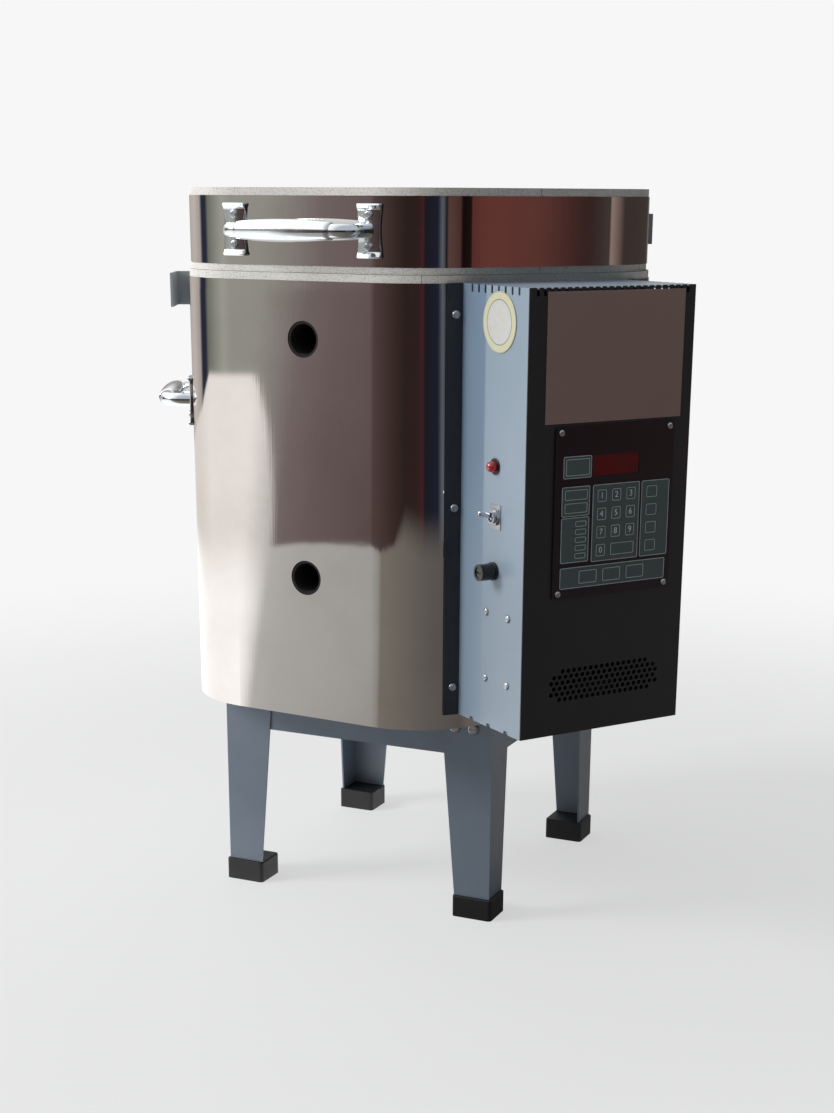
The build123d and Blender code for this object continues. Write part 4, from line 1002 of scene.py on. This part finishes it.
def element_coil(name, middle):
    """Two turns of coiled wire in one course, each with its straight ends."""
    apothem = (CHAMBER_APOTHEM + GROOVE_DEPTH - COIL_INSET) * MM
    heights = ((middle - TURN_OFFSET) * MM, (middle + TURN_OFFSET) * MM)
    coil = run_tree(
        name,
        coil_tree,
        turn_path(name, heights, apothem),
        FINISHES["element_wire"],
        spacing=0.00058,
        radius=COIL_RADIUS * MM,
        wire=COIL_WIRE * MM,
        step=radians(45),
    )
    bm = bmesh.new()
    bm.from_mesh(coil)
    along, outward = flat_axes(BOX_FLAT)
    upward = Vector((0, 0, 1))
    thin = LEAD_RADIUS - LEAD_ROUND
    lead = ((-3.0, thin), (-2.4, LEAD_RADIUS), (LEAD_LENGTH, LEAD_RADIUS))
    lead += ((LEAD_LENGTH + 0.2, thin),)
    for height in heights:
        for side in (-LEAD_OFFSET, LEAD_OFFSET):
            foot = outward * (apothem - 0.5 * MM) + along * side * MM + upward * height
            loft(
                bm,
                [
                    round_ring(foot + outward * reach * MM, along, upward, radius * MM, 12)
                    for reach, radius in lead
                ],
            )
    place = Matrix.Translation((CHAMBER_X * MM, CHAMBER_Y * MM, 0))
    return mesh_from(bm, name, place, 60.0)


def flat_text(words, size):
    """Digits as a flat mesh round the origin, in millimetres."""
    curve = bpy.data.curves.new("digits", "FONT")
    curve.body = words
    curve.size = size
    curve.align_x = "CENTER"
    curve.align_y = "CENTER"
    return applied(linked("digits", curve))


def raised(bm, shapes, height, thickness):
    """Extrudes flat shapes into thin solids standing at this height."""
    for mesh, x, y in shapes:
        part = bmesh.new()
        part.from_mesh(mesh)
        bmesh.ops.remove_doubles(part, verts=part.verts, dist=0.0001)
        faces = part.faces[:]
        grown = bmesh.ops.extrude_face_region(part, geom=faces, use_keep_orig=True)
        lifted = [v for v in grown["geom"] if isinstance(v, bmesh.types.BMVert)]
        bmesh.ops.translate(part, verts=lifted, vec=(0, 0, thickness))
        bmesh.ops.translate(part, verts=part.verts, vec=(x, y, height))
        joined = bpy.data.meshes.new("part")
        part.to_mesh(joined)
        part.free()
        bm.from_mesh(joined)
        bpy.data.meshes.remove(joined)


def add_border(bm, x, y, width, height, base, line=0.45):
    """Thin pale border round a key, as a closed ring."""
    corner, rise = 1.4, 0.12
    rings = []
    for inset, z in ((0, 0), (0, rise), (line, rise), (line, 0)):
        w, h, r = width / 2 - inset, height / 2 - inset, max(corner - inset, 0.3)
        ring = []
        for cx, cy, start in (
            (w - r, h - r, 0),
            (-w + r, h - r, 90),
            (-w + r, -h + r, 180),
            (w - r, -h + r, 270),
        ):
            for k in range(5):
                a = radians(start + 90 * k / 4)
                ring.append(bm.verts.new((x + cx + r * cos(a), y + cy + r * sin(a), base + z)))
        rings.append(ring)
    count = len(rings[0])
    for a, b in zip(rings, rings[1:] + rings[:1]):
        for i in range(count):
            j = (i + 1) % count
            bm.faces.new((a[i], a[j], b[j], b[i]))


def add_legend(name, bm, material):
    place = flat_matrix(BOX_FLAT, JACKET_APOTHEM, BODY_BASE, BOX_SHIFT)
    mesh = mesh_from(bm, name, place)
    new_piece(name, "kiln_body", "keypad_grey", mesh, material=material)


def make_legends():
    """Digits, key borders and pad borders of the controller."""
    key_top = BOX_DEPTH + CONTROLLER_PLATE + KEY_RISE
    pad_top = BOX_DEPTH + CONTROLLER_PLATE + PAD_RISE
    columns = [DIGITS_X + KEY_COLUMN * k for k in (-1, 0, 1)]
    rows = [DIGITS_Y + KEY_ROW * (k + 0.5) for k in (1, 0, -1)]
    last_row = rows[2] - KEY_ROW

    digits = [(flat_text("0", DIGIT_SIZE), columns[0], last_row)]
    for row, words in zip(rows, ("123", "456", "789")):
        for column, word in zip(columns, words):
            digits.append((flat_text(word, DIGIT_SIZE), column, row))
    bm = bmesh.new()
    raised(bm, digits, key_top - 0.02, 0.1)
    add_legend("key_digits", bm, key_ink)

    width, height = DIGIT_KEY
    keys = [(column, row, width, height) for row in rows for column in columns]
    keys.append((columns[0], last_row, width, height))
    keys.append((DIGITS_X + KEY_COLUMN / 2, last_row, KEY_COLUMN + width, height))
    keys.append((*DISPLAY_PAD, 26.0, 15.0))
    x, y = PAIR_PAD
    keys += [(x, y + 12.0 * k, 25.0, 9.0) for k in (0.5, -0.5)]
    x, y = SMALL_PAD
    keys += [(x + 6.0, y + 7.4 * k, 12.0, 5.0) for k in (2, 1, 0, -1, -2)]
    x, y = SIDE_PAD
    keys += [(x - 4.5, y + KEY_ROW * k, 12.0, 10.5) for k in (1.5, 0.5, -0.5, -1.5)]
    x, y = LOWER_PAD
    keys += [(x - 2.0 + 27.0 * k, y, 20.0, 12.0) for k in (-1, 0, 1)]
    bm = bmesh.new()
    for key in keys:
        add_border(bm, *key, key_top - LEGEND_SUNK)
    add_legend("key_borders", bm, key_line)

    bm = bmesh.new()
    for pad in (
        (*DISPLAY_PAD, 31.0, 20.0),
        (*PAIR_PAD, 31.0, 27.0),
        (*SMALL_PAD, 31.0, 41.5),
        (DIGITS_X, DIGITS_Y, 53.0, 71.0),
        (*SIDE_PAD, 32.0, 71.0),
        (*LOWER_PAD, 120.0, 19.5),
    ):
        add_border(bm, *pad, pad_top - LEGEND_SUNK, 0.5)
    add_legend("pad_borders", bm, key_line)


BACKDROP = "f7f7f7"
# What polished metal sees of the far surroundings, by compass angle as a share of a turn:
# 0.5 is straight ahead of the front flat, 0.25 is off to its left, 0.75 off to its right
WALL_STOPS = [
    (0.0, "3a3532"),
    (0.2, "b5aeaa"),
    (0.245, "a39c98"),
    (0.26, "262b3c"),
    (0.285, "262b3c"),
    (0.3, "6a6f64"),
    (0.372, "9a9c95"),
    (0.4066, "8f908a"),
    (0.407, "776d6f"),
    (0.414, "655959"),
    (0.43, "4d3f3d"),
    (0.5, "372a27"),
    (0.536, "2b211f"),
    (0.578, "30201f"),
    (0.59, "3f2226"),
    (0.598, "1b1b22"),
    (0.64, "1e2030"),
    (0.655, "5a5f68"),
    (0.668, "14151c"),
    (0.676, "55403c"),
    (0.715, "4a302e"),
    (0.724, "120c0c"),
    (0.753, "1a1010"),
    (0.7562, "4a2724"),
    (0.7584, "663a35"),
    (0.7615, "5d3733"),
    (0.7635, "352321"),
    (0.767, "2a1f1d"),
    (0.7678, "6f716a"),
    (0.7696, "4f4a48"),
    (0.772, "8a7672"),
    (0.83, "3a3230"),
]
# The ground in front of them, pale on the left and darker to the right
GROUND_STOPS = [
    (0.0, "8a8884"),
    (0.25, "dad6d2"),
    (0.3, "e6e3e1"),
    (0.4066, "e6e3e1"),
    (0.4072, "b6b6b4"),
    (0.414, "a6a6a4"),
    (0.43, "9c9c9a"),
    (0.455, "85837f"),
    (0.459, "756f69"),
    (0.5, "6e6963"),
    (0.6, "5c5955"),
    (0.7, "504d4b"),
    (0.85, "8f8b88"),
    (1.0, "8a8884"),
]
# How far the pale ground reaches, in tens of metres
REACH_STOPS = [
    (0.0, 0.24),
    (0.25, 0.5),
    (0.3, 0.64),
    (0.4066, 0.64),
    (0.407, 0.237),
    (0.4082, 0.239),
    (0.4093, 0.231),
    (0.4103, 0.238),
    (0.4116, 0.241),
    (0.413, 0.239),
    (0.457, 0.232),
    (0.5, 0.242),
    (0.536, 0.27),
    (0.6, 0.255),
    (1.0, 0.24),
]
# How soft its far edge is, in tens of metres
EDGE_STOPS = [
    (0.0, 0.02),
    (0.3, 0.02),
    (0.4066, 0.02),
    (0.407, 0.003),
    (0.5, 0.005),
    (0.54, 0.035),
    (1.0, 0.04),
]
# 0 to the left of the place where the front flat's reflection starts, 1 to the right of it
AHEAD_STOPS = [(0.0, 0.0), (0.4066, 0.0), (0.407, 1.0)]
# Polished sheet gives back about five eighths of the light, so what it sees is brighter
MIRRORED_STRENGTH = 1.6


def studio_floor():
    """Pale floor. Mirrors see only its near part, with an uneven far edge."""
    bm = bmesh.new()
    bmesh.ops.create_circle(bm, cap_ends=True, segments=64, radius=14.0)
    mesh = bpy.data.meshes.new("studio_floor")
    bm.to_mesh(mesh)
    bm.free()
    floor = linked("studio_floor", mesh)
    f = Finish("studio_floor")
    radius = f.node("ShaderNodeVectorMath", {"operation": "LENGTH"}, {0: f.place}, "Value")
    x, y = f.axis("X"), f.axis("Y")
    ragged = f.noise(9.0, 5.0, 0.6) - 0.5
    past_edge = radius + ragged * 0.12 - f.by_compass(x, y, REACH_STOPS) * 10
    tinted = f.by_compass(x, y, GROUND_STOPS)
    pale = f.mix(radius.between(1.7, 2.5), "ffffff", tinted)
    pale = f.mix(f.by_compass(x, y, AHEAD_STOPS), pale, tinted)
    edge = f.by_compass(x, y, EDGE_STOPS) * 10
    beyond = past_edge.between(edge * -1, edge)
    ground = f.mix(beyond, pale, f.by_compass(x, y, WALL_STOPS))
    seen = f.node("ShaderNodeEmission", None, {0: ground, 1: MIRRORED_STRENGTH})
    white = f.node("ShaderNodeEmission", None, {0: BACKDROP, 1: 1.0})
    plain = Wire(f, f.shader.outputs[0])
    f.set(Base_Color="e6e6e6", Roughness=0.9, Specular_IOR_Level=0.0)
    fade = f.rays("Camera") * (0.62 + 0.38 * radius.between(0.5, 1.8))
    look = f.node("ShaderNodeMixShader", None, {0: fade, 1: plain, 2: white})
    look = f.node("ShaderNodeMixShader", None, {0: f.rays("Glossy"), 1: look, 2: seen})
    f.tree.links.new(look.socket, f.output.inputs[0])
    mesh.materials.append(f.material)


def studio_world():
    """Soft grey light, white for the camera, and the walls that polished metal sees."""
    world = bpy.data.worlds.new("studio")
    bpy.context.scene.world = world
    world.use_nodes = True
    net = Net(world.node_tree)
    net.tree.nodes.clear()
    direction = net.node("ShaderNodeTexCoord", output="Generated")
    x, y, z = (
        net.node("ShaderNodeSeparateXYZ", None, {0: direction}, axis) for axis in "XYZ"
    )
    left = (x * -1).between(-0.2, 0.5)
    sky = net.mix(left, "aab0b6", "ffffff")
    wall = net.mix(z.between(0.12, 0.4), net.by_compass(x, y, WALL_STOPS), sky)
    right = x.between(-0.45, 0.55)
    ambient = net.mix(right, "e0e2e5", "1c1d20")
    plain = net.mix(net.rays("Camera"), ambient, BACKDROP)
    mirrored = (net.rays("Glossy") + net.rays("Transmission")).clipped()
    colour = net.mix(mirrored, plain, wall)
    strength = 1 + mirrored * (MIRRORED_STRENGTH - 1)
    background = net.node("ShaderNodeBackground", None, {0: colour, 1: strength})
    sink = net.tree.nodes.new("ShaderNodeOutputWorld")
    net.plug(sink.inputs[0], background)


def key_light():
    """One large soft lamp in front, high on the left."""
    data = bpy.data.lights.new("key", "AREA")
    data.energy = 78
    data.size = 1.3
    lamp = linked("key", data)
    lamp.location = (-2.6, -2.2, 2.2)
    direction = Vector((0, 0, 0.4)) - lamp.location
    lamp.rotation_euler = direction.to_track_quat("-Z", "Y").to_euler()


place_camera()
studio_world()
studio_floor()
key_light()
bpy.context.scene.view_settings.view_transform = "Standard"

finish_cad_nodes()
soften_edges()

new_piece("jacket_skin", "kiln_body", "bright_stainless", make_jacket(), "body_jacket")
new_piece("band_skin", "lid", "bright_stainless", make_band(), "lid_band")
for name, body, node, *place in (
    ("left_grip", "kiln_body", "side_handle_left", -60, JACKET_APOTHEM, SIDE_HANDLE_HEIGHT),
    ("right_grip", "kiln_body", "side_handle_right", 120, JACKET_APOTHEM, SIDE_HANDLE_HEIGHT),
    ("lid_grip", "lid", "lid_handle", 0, BAND_APOTHEM, LID_HANDLE_HEIGHT, LID_HANDLE_SHIFT),
):
    new_piece(name, body, "chrome", make_handle(flat_matrix(*place), name), node)
for course, name in enumerate(("bottom", "middle", "top")):
    mesh = element_coil(f"coil_{name}", FIRST_COURSE + (course + 0.5) * COURSE)
    new_piece(f"coil_{name}", "kiln_body", "element_wire", mesh, f"element_{name}")
make_legends()
